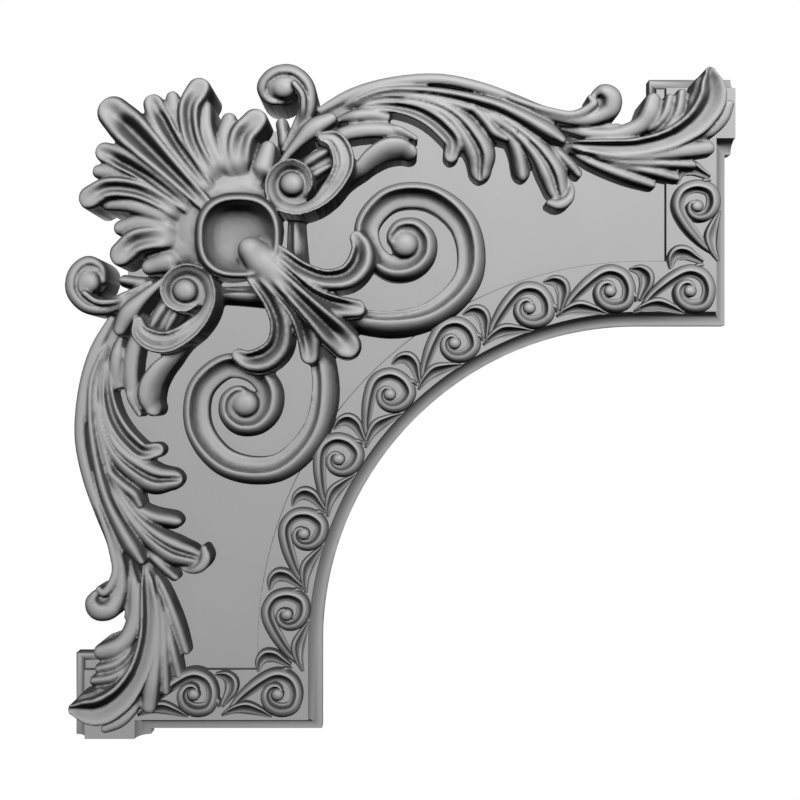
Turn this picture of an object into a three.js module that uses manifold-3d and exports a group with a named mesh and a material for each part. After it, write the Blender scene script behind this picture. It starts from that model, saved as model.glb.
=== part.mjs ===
import * as THREE from 'three';
import { mergeVertices } from 'three/addons/utils/BufferGeometryUtils.js';
import Module from 'manifold-3d';

// Corner moulding: an L-shaped board with a quarter-round arch between its arms, a coved edge,
// a sunk field and a running scroll border, with acanthus carved in one with it.
// Millimetres. X runs to the right, Z up, the carved front faces -Y and the flat back lies at Y = 0.
// The origin is on the back, behind the middle of the square where the two arms meet.

// Board
const ARM_WIDTH = 116.7;
const ARM_LENGTH = 361.8;
const ARCH_RADIUS = 193.2;
const BOARD_DEPTH = 14.4;
const COVE_RUN = 7.8;
const COVE_DROP = 7.8;
const COVE_STEPS = 4;
const ARCH_STEPS = 20;
const FIELD_SINK = 2.4;
const BORDER_WIDTH = 30.6;

// Outer edge of each arm, which swells under the leaf and is hidden by it
const SHOULDER_START = 105;
const SHOULDER_LENGTH = 154;
const SHOULDER_RISE = 24.5;
const SHOULDER_STEPS = 10;

// End blocks, one at the end of each arm
const BLOCK_LENGTH = 49.6;
const BLOCK_OVERRUN = 3.6;
const BLOCK_RISE = 33;
const BLOCK_FOOT = 12.6;
const BLOCK_BEVEL_RUN = 3.1;

// Setting out of the carving. It is drawn on a sheet as it looks from a sight point in front of it,
// so what stands higher is drawn further from the middle of the sheet. The sheet's step is a share
// of the arm, so that the carving grows with it.
const STEPS_PER_ARM = 603;
const GRID = ARM_LENGTH / STEPS_PER_ARM;
const SHEET_CORNER = { x: 223.75, y: 227.25 };
const SIGHT = { x: 400, y: 400, distance: 850 };
const LEAF_MIRROR_SHIFT = 1;
const TIP_FALL = 0.35;
const TIP_ANGLE = 62;
const BLUNT_TIP = 6.2;
const STEPS_PER_SPAN = 6;
const TOLERANCE = 2.6;
const WIDTH_CARE = 0.7;
const RISE_CARE = 0.5;
const ROOT_SINK = 1;
const ROOT_DEPTH = BOARD_DEPTH - FIELD_SINK - ROOT_SINK;

// Running scroll border
const SCROLL_COUNT = 7;
const SCROLL_PITCH = 13.25;
const SCROLL_SETBACK = 21.6;
const SCROLL_MIDDLE_HEADING = -45;
const SCROLL_TURN = 48;
const SCROLL_RISE = 10;

// Scrolls round the ends of the arms: how far the eye is from the arm's inner edge and from its
// end, and the incoming and outgoing direction in degrees from the right, turning down
const FOOT_SCROLLS = [
  { edge: 76.5, end: 23.6, into: 0, onward: 0 },
  { edge: 26.1, end: 23.6, into: 0, onward: -90 },
];
const HEAD_SCROLLS = [
  { edge: 20.7, end: 23.6, into: 0, onward: -90 },
  { edge: 71.7, end: 19.4, into: -90, onward: -90 },
];

// Points nearer than this are one, and edges that turn less than this share are straight
const WELD = 1e-5;
const STRAIGHT = 1e-6;

const FINISH = { colour: 0xa9a9a7, roughness: 0.62, metalness: 0 };

const radians = THREE.MathUtils.degToRad;

// Each section gives places across the frond, from edge to edge, and how far the surface
// lies below the crest there, in shares of the half width.
const SECTIONS = {
  slim: [[-1, 0.7], [0, 0], [1, 0.7]],
  round: [[-1, 0.7], [-0.5, 0.12], [0.5, 0.12], [1, 0.7]],
  gouge: [[-1, 0.5], [-0.66, 0], [0, 0.5], [0.66, 0], [1, 0.5]],
  ridge: [[-1, 0.95], [-0.15, 0], [1, 0.7]],
};

// Fronds of one half: section, then points of the spine as across, down, half width and rise
// over the border, in steps of the sheet.
const HALF_FRONDS = {
  outer_flute: ['slim', [[318, 112, 4, 17], [350, 95, 6, 19], [400, 81.5, 6, 20], [440, 79.5, 6, 20],
    [480, 87.5, 6, 20], [515, 99.5, 5.5, 20], [545, 112, 6, 20], [572, 119, 7, 21], [597, 117, 8, 22],
    [612, 108, 9, 24], [614, 97, 8.5, 25], [605, 91, 6, 23], [598, 93, 4, 20]]],
  first_tongue: ['slim', [[335, 110, 2, 20], [380, 88.5, 3, 23], [420, 86.5, 3.5, 24],
    [460, 92, 4.5, 25], [500, 106, 6, 26], [530, 121, 9, 26], [550, 133, 9.5, 26], [560, 139, 6, 24]]],
  hook_leaf: ['gouge', [[470, 103, 4, 18], [500, 119, 6, 20], [522, 135, 8, 21], [541, 155, 12, 22],
    [552, 174, 15, 22], [556, 187, 13, 20]]],
  side_finger: ['slim', [[545, 138, 3, 18], [560, 154, 5, 18], [571, 166, 6, 17], [577, 173, 5.5, 15]]],
  drop_finger: ['slim', [[485, 108, 4, 16], [505, 130, 7, 17], [517, 152, 9, 17], [521, 172, 9.5, 15]]],
  broad_tongue: ['gouge', [[385, 99, 3, 20], [420, 101, 6, 21], [450, 113, 9, 22], [470, 135, 14, 22],
    [480, 156, 16, 20], [480, 170, 12, 17]]],
  inner_finger: ['slim', [[345, 112, 3, 19], [385, 106, 6, 20], [420, 113, 9, 21], [442, 128, 10, 21],
    [453, 143, 9.5, 20], [451, 155, 8, 17]]],
  short_finger: ['slim', [[332, 122, 4, 22], [354, 116, 6, 22], [371, 114.5, 6.5, 21],
    [385, 117, 5.5, 18]]],
  pale_leaf: ['slim', [[318, 146, 6, 22], [345, 134, 8, 23], [372, 130, 8.5, 22], [395, 132, 7, 20],
    [410, 137, 4, 17]]],
  end_bed: ['slim', [[556, 144, 6, 12], [600, 150, 14, 12], [650, 146, 20, 12], [684, 130, 20, 12],
    [700, 112, 14, 12]]],
  end_top: ['slim', [[560, 129, 4, 18], [590, 133.5, 5.5, 19], [622, 133, 8, 20], [643, 123, 9, 22],
    [651, 110, 9.5, 24], [653, 101, 8.5, 23]]],
  end_second: ['slim', [[636, 136, 3, 21], [656, 126, 5, 22], [667, 112, 7, 24], [670, 100, 6.5, 23]]],
  end_third: ['slim', [[645, 138, 3, 21], [668, 127, 5, 23], [680, 109, 7, 25], [682, 95, 6.5, 24]]],
  end_blade: ['slim', [[560, 143, 3, 20], [600, 147, 8, 22], [640, 146, 9, 24], [675, 136, 11, 27],
    [702, 116, 14, 31], [713, 94, 14.5, 33], [712, 80, 11, 32], [711, 72, 6, 30]]],
  end_outer: ['slim', [[690, 143, 3, 16], [710, 133, 4.5, 17], [724, 118, 5.5, 19],
    [730, 104, 4.5, 19]]],
  end_lobe_a: ['slim', [[568, 147, 2, 18], [620, 156, 3, 18], [660, 155, 5, 18], [690, 150, 8, 18],
    [707, 148, 8, 15]]],
  end_lobe_b: ['slim', [[575, 151, 2, 16], [620, 162, 3.5, 16], [660, 164, 5.5, 16],
    [690, 165, 6.5, 13]]],
  end_lobe_c: ['slim', [[590, 161, 3, 14], [630, 168, 5, 14], [660, 174, 6.5, 14],
    [674, 177.5, 6.5, 11]]],
  end_lobe_d: ['slim', [[566, 151, 3, 14], [600, 167, 6, 14], [630, 178, 7.5, 13], [649, 184, 7, 10]]],
  bract: ['slim', [[280, 164, 3, 28], [298, 143, 6, 32], [315, 127, 9.5, 34], [330, 119, 7, 31]]],
  curl_stem: ['slim', [[284, 152, 4, 20], [299, 126, 7, 24], [308, 104, 8.5, 27], [305, 83, 9, 29],
    [290, 71, 9, 29], [273, 74.5, 8.5, 28], [264.5, 88, 8, 26], [270, 99, 6, 24], [281, 101.5, 4, 22]]],
  bud_leaf: ['slim', [[280, 158, 4, 18], [284, 140, 6.5, 19], [282, 124, 6.5, 18]]],
  small_volute: ['gouge', [[303, 196, 3, 40], [309.5, 182, 6, 41], [303.5, 168, 6, 41],
    [290, 164.5, 5.5, 41], [277, 171, 6.5, 41], [270.8, 186, 6.8, 41], [277.3, 202, 6.5, 41],
    [296, 210, 4.9, 41], [314.5, 204, 6, 42], [329, 190.5, 9, 42], [338, 178, 9.8, 42],
    [343, 165.5, 11, 42], [341, 150, 11, 41], [333, 139, 9, 40], [322, 136.5, 5, 39]]],
  horn_leaf: ['slim', [[346, 190, 3, 24], [360, 170, 7, 28], [374, 156, 10, 30], [390, 146.5, 11.5, 30],
    [404, 147, 11, 28], [410, 152, 8, 25]]],
  shell_1: ['gouge', [[218, 196, 5, 40], [190, 167, 6, 40], [170, 141, 8, 38], [158, 120, 11.5, 36],
    [152, 104, 9.5, 32]]],
  shell_2: ['slim', [[218, 190, 4, 38], [192, 158, 5, 38], [179, 132, 6, 36], [173, 112, 7, 33],
    [172.5, 97, 6.5, 30]]],
  shell_3: ['gouge', [[220, 182, 6, 40], [198, 150, 8, 40], [190, 124, 9, 39], [193, 102, 10.5, 38],
    [201, 89, 10.5, 36]]],
  shell_4: ['slim', [[228, 180, 5, 39], [211, 150, 6, 38], [205, 125, 7, 36], [206, 107, 6, 32]]],
  shell_5: ['slim', [[234, 184, 5, 39], [225, 158, 6, 37], [224, 137, 7.5, 34], [229.5, 120, 7, 30]]],
  shell_6: ['gouge', [[241, 178, 8, 40], [239, 152, 10, 39], [246, 131, 11, 38], [257, 119, 10, 36]]],
  shell_7: ['slim', [[257, 182, 9, 38], [263, 160, 9, 34], [268, 148, 7, 30]]],
  droop_b: ['gouge', [[262, 246, 4, 50], [276, 264, 5.5, 53], [291, 281, 6, 50], [311, 297, 7, 46],
    [333, 308.5, 11, 40], [357, 309, 8.5, 34]]],
  droop_a: ['gouge', [[258, 238, 5, 44], [280, 254, 6, 50], [303, 273, 8, 48], [328, 282.5, 9, 44],
    [351, 278, 11.5, 40], [363.5, 261, 13, 36], [362, 244, 10, 34], [356, 237, 7, 32]]],
};

// Fronds that reach past the board, so their sides run down to the back
const TO_THE_BACK = new Set([
  'outer_flute', 'end_bed', 'end_top', 'end_blade', 'bract', 'curl_stem', 'bud_leaf',
  'shell_1', 'shell_2', 'shell_3', 'shell_4', 'shell_5', 'shell_6', 'shell_7',
]);

// Fronds on the mirror line
const CENTRE_FRONDS = {
  shell_bed: ['slim', [[240, 239, 48, 34], [200, 199, 52, 32], [176, 175, 44, 30]]],
  shell_0: ['gouge', [[205, 204, 6, 42], [168, 167, 10, 42], [145, 144, 16, 40], [129, 128, 19.5, 38],
    [114, 113, 17, 33]]],
  stalk: ['round', [[249, 248, 14, 44], [262, 261, 16, 52], [280, 279, 14, 51], [296, 295, 10, 48]]],
  droop_c: ['gouge', [[262, 261, 6, 54], [280, 279, 7, 54], [300, 299, 8, 52], [318, 317, 11, 46],
    [334, 333, 14.5, 38], [347, 346, 14.5, 31]]],
};

// Large volute: centre, first angle in degrees, then radius and half width at each step of the turn
const LARGE_VOLUTE = {
  x: 405, y: 245, from: 159, turn: 45,
  radii: [14, 16.3, 20, 22.5, 22.8, 23, 23.8, 26.7, 32, 42, 47.8, 53, 62, 71, 75],
  widths: [3, 4.5, 6, 7, 9.5, 10.5, 11.5, 12.5, 12, 12.5, 13, 13.5, 14, 14, 14],
  rise: 18,
  tail: [[395, 324.5, 14, 18], [369, 323, 13, 18], [330, 312, 12, 17], [290, 301, 11, 16],
    [262, 297, 11, 15], [222, 295.5, 9, 13]],
};

// Round bosses: centre, radius and rise. Their section gives shares out and below the crown.
const HALF_BOSSES = [[292, 182, 13, 40], [283, 87, 12.5, 29], [404.5, 244, 14, 18]];
const BOSS_SIDES = 8;
const BOSS_SECTION = [[1, 0.6], [0.6, 0]];

// Cup that the drooping leaf hangs from: places out from the middle and the rise there.
// The hollow is the part of the section that comes before the lip.
const CUP = {
  x: 238.5,
  y: 236.5,
  radius: 43,
  squareness: 2.5,
  sides: 16,
  hollow: [[0.35, 20], [0.66, 27], [0.78, 42], [0.87, 50]],
  lip: [[0.96, 48], [1, 42]],
};

// One scroll of the border, in steps along and out from its eye
const SCROLL = {
  stem: [[-51, -20, 1.5, 0.3], [-36, -3, 5, 0.7], [-15, 13.5, 6.5, 1]],
  radii: [19.4, 19.7, 19.8, 17.5, 14, 11.5, 9, 7],
  widths: [6.5, 6.5, 6.6, 7, 6.2, 5, 4, 3.5],
  hook: [[28, -12, 2, 0.6], [38.5, 5, 5.5, 1], [36, 16, 5, 1], [25, 18, 2, 0.6]],
};

const wasm = await Module();
wasm.setup();

// A point of the sheet at a rise over the border, in the part's own frame
function onBoard(x, y, rise) {
  const nearer = (SIGHT.distance - rise) / SIGHT.distance;
  return new THREE.Vector3(
    (SIGHT.x + (x - SIGHT.x) * nearer - SHEET_CORNER.x) * GRID,
    -BOARD_DEPTH - rise * GRID,
    -(SIGHT.y + (y - SIGHT.y) * nearer - SHEET_CORNER.y) * GRID,
  );
}

// A closed mesh as a solid, with its faces turned outwards
function solidOf(geometry) {
  const bare = geometry.clone();
  bare.deleteAttribute('normal');
  bare.deleteAttribute('uv');
  const merged = mergeVertices(bare, WELD);
  const points = merged.attributes.position;
  const index = Uint32Array.from(merged.index.array);
  const a = new THREE.Vector3();
  const b = new THREE.Vector3();
  const c = new THREE.Vector3();
  let volume = 0;
  for (let i = 0; i < index.length; i += 3) {
    a.fromBufferAttribute(points, index[i]);
    b.fromBufferAttribute(points, index[i + 1]);
    c.fromBufferAttribute(points, index[i + 2]);
    volume += a.dot(b.cross(c));
  }
  if (volume < 0) {
    for (let i = 0; i < index.length; i += 3) {
      [index[i + 1], index[i + 2]] = [index[i + 2], index[i + 1]];
    }
  }
  return new wasm.Manifold(new wasm.Mesh({
    numProp: 3,
    vertProperties: Float32Array.from(points.array),
    triVerts: index,
  }));
}

// Rings of points joined in order and closed at both ends
function loft(rings, standing = false) {
  const size = rings[0].length;
  const place = [];
  const index = [];
  rings.forEach((ring) => ring.forEach((p) => place.push(p.x, p.y, p.z)));
  for (let r = 0; r + 1 < rings.length; r += 1) {
    for (let i = 0; i < size; i += 1) {
      const j = (i + 1) % size;
      const low = r * size;
      const high = low + size;
      index.push(low + i, low + j, high + j);
      index.push(low + i, high + j, high + i);
    }
  }
  const close = standing ? fanFaces : flatFaces;
  close(rings[0]).forEach(([p, q, s]) => index.push(p, s, q));
  const top = (rings.length - 1) * size;
  close(rings[rings.length - 1]).forEach(([p, q, s]) => index.push(top + p, top + q, top + s));
  const geometry = new THREE.BufferGeometry();
  geometry.setAttribute('position', new THREE.Float32BufferAttribute(place, 3));
  geometry.setIndex(index);
  return geometry;
}

// Faces of a ring that stands across a spine, fanned from its last point
function fanFaces(ring) {
  const last = ring.length - 1;
  return ring.slice(0, last - 1).map((_, i) => [last, i, i + 1]);
}

// Faces of a ring that lies parallel to the back
function flatFaces(ring) {
  const flat = ring.map((p) => new THREE.Vector2(p.x, p.z));
  const turned = THREE.ShapeUtils.area(flat) < 0;
  if (!turned) return THREE.ShapeUtils.triangulateShape(flat, []);
  const last = ring.length - 1;
  const faces = THREE.ShapeUtils.triangulateShape(flat.reverse(), []);
  return faces.map(([p, q, s]) => [last - p, last - s, last - q]);
}

// A smooth line through rows of numbers: the first two are the place on the sheet
function through(rows) {
  const gaps = rows.slice(1).map((row, i) => Math.hypot(row[0] - rows[i][0], row[1] - rows[i][1]));
  const slopes = gaps.map((gap, i) => rows[i].map((v, k) => (rows[i + 1][k] - v) / gap));
  const bends = rows.map((row, i) => {
    if (i === 0) return slopes[0];
    if (i === rows.length - 1) return slopes[i - 1];
    const sum = gaps[i] + gaps[i - 1];
    return row.map((v, k) => (slopes[i][k] * gaps[i - 1] + slopes[i - 1][k] * gaps[i]) / sum);
  });
  const line = [];
  gaps.forEach((gap, i) => {
    for (let s = 0; s < STEPS_PER_SPAN; s += 1) {
      const t = s / STEPS_PER_SPAN;
      const h00 = 2 * t ** 3 - 3 * t ** 2 + 1;
      const h10 = t ** 3 - 2 * t ** 2 + t;
      const h01 = 3 * t ** 2 - 2 * t ** 3;
      const h11 = t ** 3 - t ** 2;
      line.push(rows[i].map((v, k) => (
        h00 * v + h10 * gap * bends[i][k] + h01 * rows[i + 1][k] + h11 * gap * bends[i + 1][k])));
    }
  });
  line.push(rows[rows.length - 1]);
  return thinned(line);
}

// The fewest rows of a line that keep it within the carving tolerance
function thinned(line) {
  const last = line.length - 1;
  const [start, end] = [line[0], line[last]];
  let worst = 0;
  let at = 0;
  for (let i = 1; i < last; i += 1) {
    const dx = end[0] - start[0];
    const dy = end[1] - start[1];
    const share = THREE.MathUtils.clamp(
      ((line[i][0] - start[0]) * dx + (line[i][1] - start[1]) * dy) / (dx * dx + dy * dy || 1), 0, 1);
    const off = line[i].map((v, k) => v - start[k] - share * (end[k] - start[k]));
    const gap = Math.hypot(off[0], off[1]) + Math.abs(off[2]) * WIDTH_CARE + Math.abs(off[3]) * RISE_CARE;
    if (gap > worst) {
      worst = gap;
      at = i;
    }
  }
  if (worst < TOLERANCE) return [start, end];
  return [...thinned(line.slice(0, at + 1)), ...thinned(line.slice(at)).slice(1)];
}

// A frond: a section carried along its spine, with a rounded tip, walls down to a base depth
function frond(section, rows, base = 0) {
  const line = through(rows);
  const places = SECTIONS[section];
  const rings = [];
  const ringAt = (x, y, along, half, rise, full) => {
    const across = [along[1], -along[0]];
    const top = places.map(([u, drop]) => onBoard(
      x + across[0] * u * half, y + across[1] * u * half, rise - drop * full));
    const feet = [top[top.length - 1], top[0]].map((p) => new THREE.Vector3(p.x, -base, p.z));
    rings.push([...top, ...feet]);
  };
  let along = [1, 0];
  line.forEach(([x, y, half, rise], i) => {
    const before = line[Math.max(i - 1, 0)];
    const after = line[Math.min(i + 1, line.length - 1)];
    const length = Math.hypot(after[0] - before[0], after[1] - before[1]);
    along = [(after[0] - before[0]) / length, (after[1] - before[1]) / length];
    ringAt(x, y, along, half, rise, half);
  });
  const [x, y, half, rise] = line[line.length - 1];
  if (half > BLUNT_TIP) {
    const out = half * Math.sin(radians(TIP_ANGLE));
    const narrow = half * Math.cos(radians(TIP_ANGLE));
    const fall = TIP_FALL * half * (1 - Math.cos(radians(TIP_ANGLE)));
    ringAt(x + along[0] * out, y + along[1] * out, along, narrow, rise - fall, narrow);
  }
  return solidOf(loft(rings, true));
}

// A row of numbers mirrored over the line of symmetry of the leaf
const mirrored = ([x, y, ...rest]) => [y + LEAF_MIRROR_SHIFT, x - LEAF_MIRROR_SHIFT, ...rest];

// The rows of the large volute, from its inner end outwards, and on into its tail
function voluteRows({ x, y, from, turn, radii, widths, rise, tail }) {
  const rows = radii.map((radius, i) => {
    const angle = radians(from + i * turn);
    return [x + radius * Math.cos(angle), y + radius * Math.sin(angle), widths[i], rise];
  });
  return [...rows, ...tail];
}

// A ring of the sheet round a point, at a distance that may change with the angle
function ringRound({ x, y, sides }, distance, rise) {
  const ring = [];
  for (let i = 0; i < sides; i += 1) {
    const angle = 2 * Math.PI * i / sides;
    const out = distance(angle);
    ring.push(onBoard(x + out * Math.cos(angle), y + out * Math.sin(angle), rise));
  }
  return ring;
}

// A round boss with a domed top, walls down to a base depth
function boss([x, y, radius, rise], base = 0) {
  const rings = BOSS_SECTION.map(([share, drop]) => (
    ringRound({ x, y, sides: BOSS_SIDES }, () => radius * share, rise - drop * radius)));
  const foot = rings[0].map((p) => new THREE.Vector3(p.x, -base, p.z));
  return solidOf(loft([foot, ...rings]));
}

// Rings of the cup, each a rounded square
function cupRings(section) {
  const power = CUP.squareness;
  const bulge = (angle) => (
    (Math.abs(Math.cos(angle)) ** power + Math.abs(Math.sin(angle)) ** power) ** (-1 / power));
  return section.map(([share, rise]) => ringRound(CUP, (angle) => CUP.radius * share * bulge(angle), rise));
}

// The cup, from its hollow over the lip to the back
function cup() {
  const rings = cupRings([...CUP.hollow, ...CUP.lip]);
  const foot = rings[rings.length - 1].map((p) => new THREE.Vector3(p.x, 0, p.z));
  return solidOf(loft([...rings, foot]));
}

// The inside of the cup, cut away before the stalk is added
function cupHollow() {
  const rings = cupRings(CUP.hollow);
  const top = rings[rings.length - 1].map((p) => new THREE.Vector3(p.x, p.y - CUP.radius, p.z));
  return solidOf(loft([...rings, top]));
}

// Places of the scrolls on the sheet, from the end of one arm along the arch to the end of the other
function scrollPlaces() {
  const middle = (ARM_WIDTH / 2 + ARCH_RADIUS) / GRID;
  const radius = (ARCH_RADIUS + SCROLL_SETBACK) / GRID;
  const along = [];
  for (let i = 0; i < SCROLL_COUNT; i += 1) {
    const heading = SCROLL_MIDDLE_HEADING + (i - (SCROLL_COUNT - 1) / 2) * SCROLL_PITCH;
    const out = radians(heading - 90);
    along.push({
      x: SHEET_CORNER.x + middle + radius * Math.cos(out),
      y: SHEET_CORNER.y + middle + radius * Math.sin(out),
      into: heading,
      onward: heading,
    });
  }
  const across = (edge) => (ARM_WIDTH / 2 - edge) / GRID;
  const down = (end) => (ARM_LENGTH - end - ARM_WIDTH / 2) / GRID;
  const foot = FOOT_SCROLLS.map(({ edge, end, into, onward }) => (
    { x: SHEET_CORNER.x + across(edge), y: SHEET_CORNER.y + down(end), into, onward }));
  const head = HEAD_SCROLLS.map(({ edge, end, into, onward }) => (
    { x: SHEET_CORNER.x + down(end), y: SHEET_CORNER.y + across(edge), into, onward }));
  return [...foot, ...along, ...head];
}

// One scroll of the border with its hook leaf
function scroll({ x, y, into, onward }) {
  const base = BOARD_DEPTH - COVE_DROP / 2;
  const turned = (heading) => {
    const cos = Math.cos(radians(heading));
    const sin = Math.sin(radians(heading));
    return ([a, b, half, share]) => (
      [x + a * cos + b * sin, y + a * sin - b * cos, half, share * SCROLL_RISE]);
  };
  const turns = SCROLL.radii.map((radius, i) => {
    const angle = radians(90 - i * SCROLL_TURN);
    return [radius * Math.cos(angle), radius * Math.sin(angle), SCROLL.widths[i], 1];
  });
  return [
    frond('ridge', [...SCROLL.stem, ...turns].map(turned(into)), base),
    frond('slim', SCROLL.hook.map(turned(onward)), base),
  ];
}

// Outline of the board at the back, point by point round it. Each edge has its run of cove:
// the edge from a point to the next one carries the run given with it.
function boardOutline() {
  const far = ARM_WIDTH + ARCH_RADIUS;
  const blockStart = ARM_LENGTH + BLOCK_OVERRUN - BLOCK_LENGTH;
  const blockEnd = ARM_LENGTH + BLOCK_OVERRUN;
  const shoulder = [];
  for (let i = 0; i <= SHOULDER_STEPS; i += 1) {
    const share = i / SHOULDER_STEPS;
    shoulder.push({
      u: SHOULDER_START + SHOULDER_LENGTH * share,
      v: -SHOULDER_RISE * Math.sin(Math.PI * share),
      run: 0,
    });
  }
  const half = [
    { u: 0, v: 0, run: 0 },
    ...shoulder,
    { u: blockStart, v: 0, run: BLOCK_BEVEL_RUN },
    { u: blockStart, v: -BLOCK_RISE, run: COVE_RUN },
    { u: blockEnd, v: -BLOCK_RISE, run: 0 },
    { u: blockEnd, v: BLOCK_FOOT, run: COVE_RUN },
    { u: ARM_LENGTH, v: BLOCK_FOOT, run: COVE_RUN },
    { u: ARM_LENGTH, v: ARM_WIDTH, run: COVE_RUN },
  ];
  const arch = [];
  for (let i = 0; i <= ARCH_STEPS; i += 1) {
    const angle = Math.PI / 2 * i / ARCH_STEPS;
    arch.push({
      u: far - ARCH_RADIUS * Math.sin(angle),
      v: far - ARCH_RADIUS * Math.cos(angle),
      run: COVE_RUN,
    });
  }
  const other = half.slice(1).reverse().map(({ u, v }, i) => (
    { u: v, v: u, run: half[half.length - 2 - i].run }));
  return [...half, ...arch, ...other];
}

// The outline moved inwards on each edge by its own run times a share
function inset(outline, share) {
  const count = outline.length;
  return outline.map((point, i) => {
    const before = outline[(i + count - 1) % count];
    const after = outline[(i + 1) % count];
    const d1 = new THREE.Vector2(point.u - before.u, point.v - before.v).normalize();
    const d2 = new THREE.Vector2(after.u - point.u, after.v - point.v).normalize();
    const n1 = new THREE.Vector2(-d1.y, d1.x);
    const n2 = new THREE.Vector2(-d2.y, d2.x);
    const m1 = before.run * share;
    const m2 = point.run * share;
    const cross = d1.x * d2.y - d1.y * d2.x;
    if (Math.abs(cross) < STRAIGHT) {
      return { u: point.u + n2.x * m2, v: point.v + n2.y * m2 };
    }
    const k = ((n2.x * m2 - n1.x * m1) * d2.y - (n2.y * m2 - n1.y * m1) * d2.x) / cross;
    return { u: point.u + n1.x * m1 + d1.x * k, v: point.v + n1.y * m1 + d1.y * k };
  });
}

const onPlan = ({ u, v }, depth) => new THREE.Vector3(u - ARM_WIDTH / 2, -depth, ARM_WIDTH / 2 - v);

// The board with its coved edge and its sunk field
function board() {
  const outline = boardOutline();
  const rings = [outline.map((p) => onPlan(p, 0))];
  for (let i = 0; i <= COVE_STEPS; i += 1) {
    const angle = Math.PI / 2 * i / COVE_STEPS;
    const depth = BOARD_DEPTH - COVE_DROP * Math.cos(angle);
    rings.push(inset(outline, Math.sin(angle)).map((p) => onPlan(p, depth)));
  }
  return solidOf(loft(rings)).subtract(fieldCut());
}

// What is cut out of the front to sink the field
function fieldCut() {
  const far = ARM_WIDTH + ARCH_RADIUS;
  const reach = ARM_LENGTH - COVE_RUN - BORDER_WIDTH;
  const radius = ARCH_RADIUS + COVE_RUN + BORDER_WIDTH;
  const top = COVE_RUN - BLOCK_RISE;
  const side = ARM_LENGTH + BLOCK_OVERRUN - BLOCK_LENGTH + BLOCK_BEVEL_RUN;
  const spill = -BORDER_WIDTH;
  const half = [[spill, spill], [side, spill], [side, top], [reach, top], [reach, far - radius]];
  const points = half.map(([u, v]) => ({ u, v }));
  for (let i = 0; i <= ARCH_STEPS; i += 1) {
    const angle = Math.PI / 2 * i / ARCH_STEPS;
    points.push({ u: far - radius * Math.sin(angle), v: far - radius * Math.cos(angle) });
  }
  half.slice(1).reverse().forEach(([u, v]) => points.push({ u: v, v: u }));
  const low = points.map((p) => onPlan(p, BOARD_DEPTH - FIELD_SINK));
  const high = points.map((p) => onPlan(p, BOARD_DEPTH + FIELD_SINK));
  return solidOf(loft([low, high]));
}

function joined(solids) {
  let rest = solids;
  while (rest.length > 1) {
    const next = [];
    for (let i = 0; i < rest.length; i += 2) {
      next.push(i + 1 < rest.length ? rest[i].add(rest[i + 1]) : rest[i]);
    }
    rest = next;
  }
  return rest[0];
}

function carving() {
  const pieces = [];
  Object.entries(HALF_FRONDS).forEach(([name, [section, rows]]) => {
    const base = TO_THE_BACK.has(name) ? 0 : ROOT_DEPTH;
    pieces.push(frond(section, rows, base), frond(section, rows.map(mirrored), base));
  });
  const band = voluteRows(LARGE_VOLUTE);
  pieces.push(frond('gouge', band, ROOT_DEPTH), frond('gouge', band.map(mirrored), ROOT_DEPTH));
  HALF_BOSSES.forEach((row) => pieces.push(boss(row, ROOT_DEPTH), boss(mirrored(row), ROOT_DEPTH)));
  scrollPlaces().forEach((place) => pieces.push(...scroll(place)));
  return pieces;
}

function moulding() {
  const shell = [frond(...CENTRE_FRONDS.shell_bed), frond(...CENTRE_FRONDS.shell_0)];
  const ground = joined([board(), ...carving(), ...shell]);
  const hollowed = ground.add(cup()).subtract(cupHollow());
  return joined([hollowed, frond(...CENTRE_FRONDS.stalk), frond(...CENTRE_FRONDS.droop_c)]);
}

function meshOf(solid) {
  const { vertProperties, triVerts, numProp } = solid.getMesh();
  const geometry = new THREE.BufferGeometry();
  const place = new Float32Array(vertProperties.length / numProp * 3);
  for (let i = 0; i < place.length / 3; i += 1) {
    place.set(vertProperties.subarray(i * numProp, i * numProp + 3), i * 3);
  }
  geometry.setAttribute('position', new THREE.BufferAttribute(place, 3));
  geometry.setIndex(new THREE.BufferAttribute(Uint32Array.from(triVerts), 1));
  geometry.computeVertexNormals();
  return geometry;
}

const finish = new THREE.MeshStandardMaterial({
  color: FINISH.colour,
  roughness: FINISH.roughness,
  metalness: FINISH.metalness,
});
const piece = new THREE.Mesh(meshOf(moulding()), finish);
piece.name = 'corner_moulding';

const group = new THREE.Group();
group.name = 'corner_moulding_part';
group.add(piece);

export default group;
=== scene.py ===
"""Looks of the corner moulding: carved acanthus, scrolls and border on an L-shaped board.

The carving is drawn on a sheet as it is seen from a sight point in front of the board, in the
same steps as the solids: across, down, half width and rise over the border. Each leaf finger is
a section carried along a smooth spine; all of them and the board are joined into one skin.
"""

import logging
import math
from dataclasses import dataclass, field, replace
from enum import Enum

import bpy
import numpy as np
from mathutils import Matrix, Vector
from mathutils.geometry import tessellate_polygon

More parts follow.
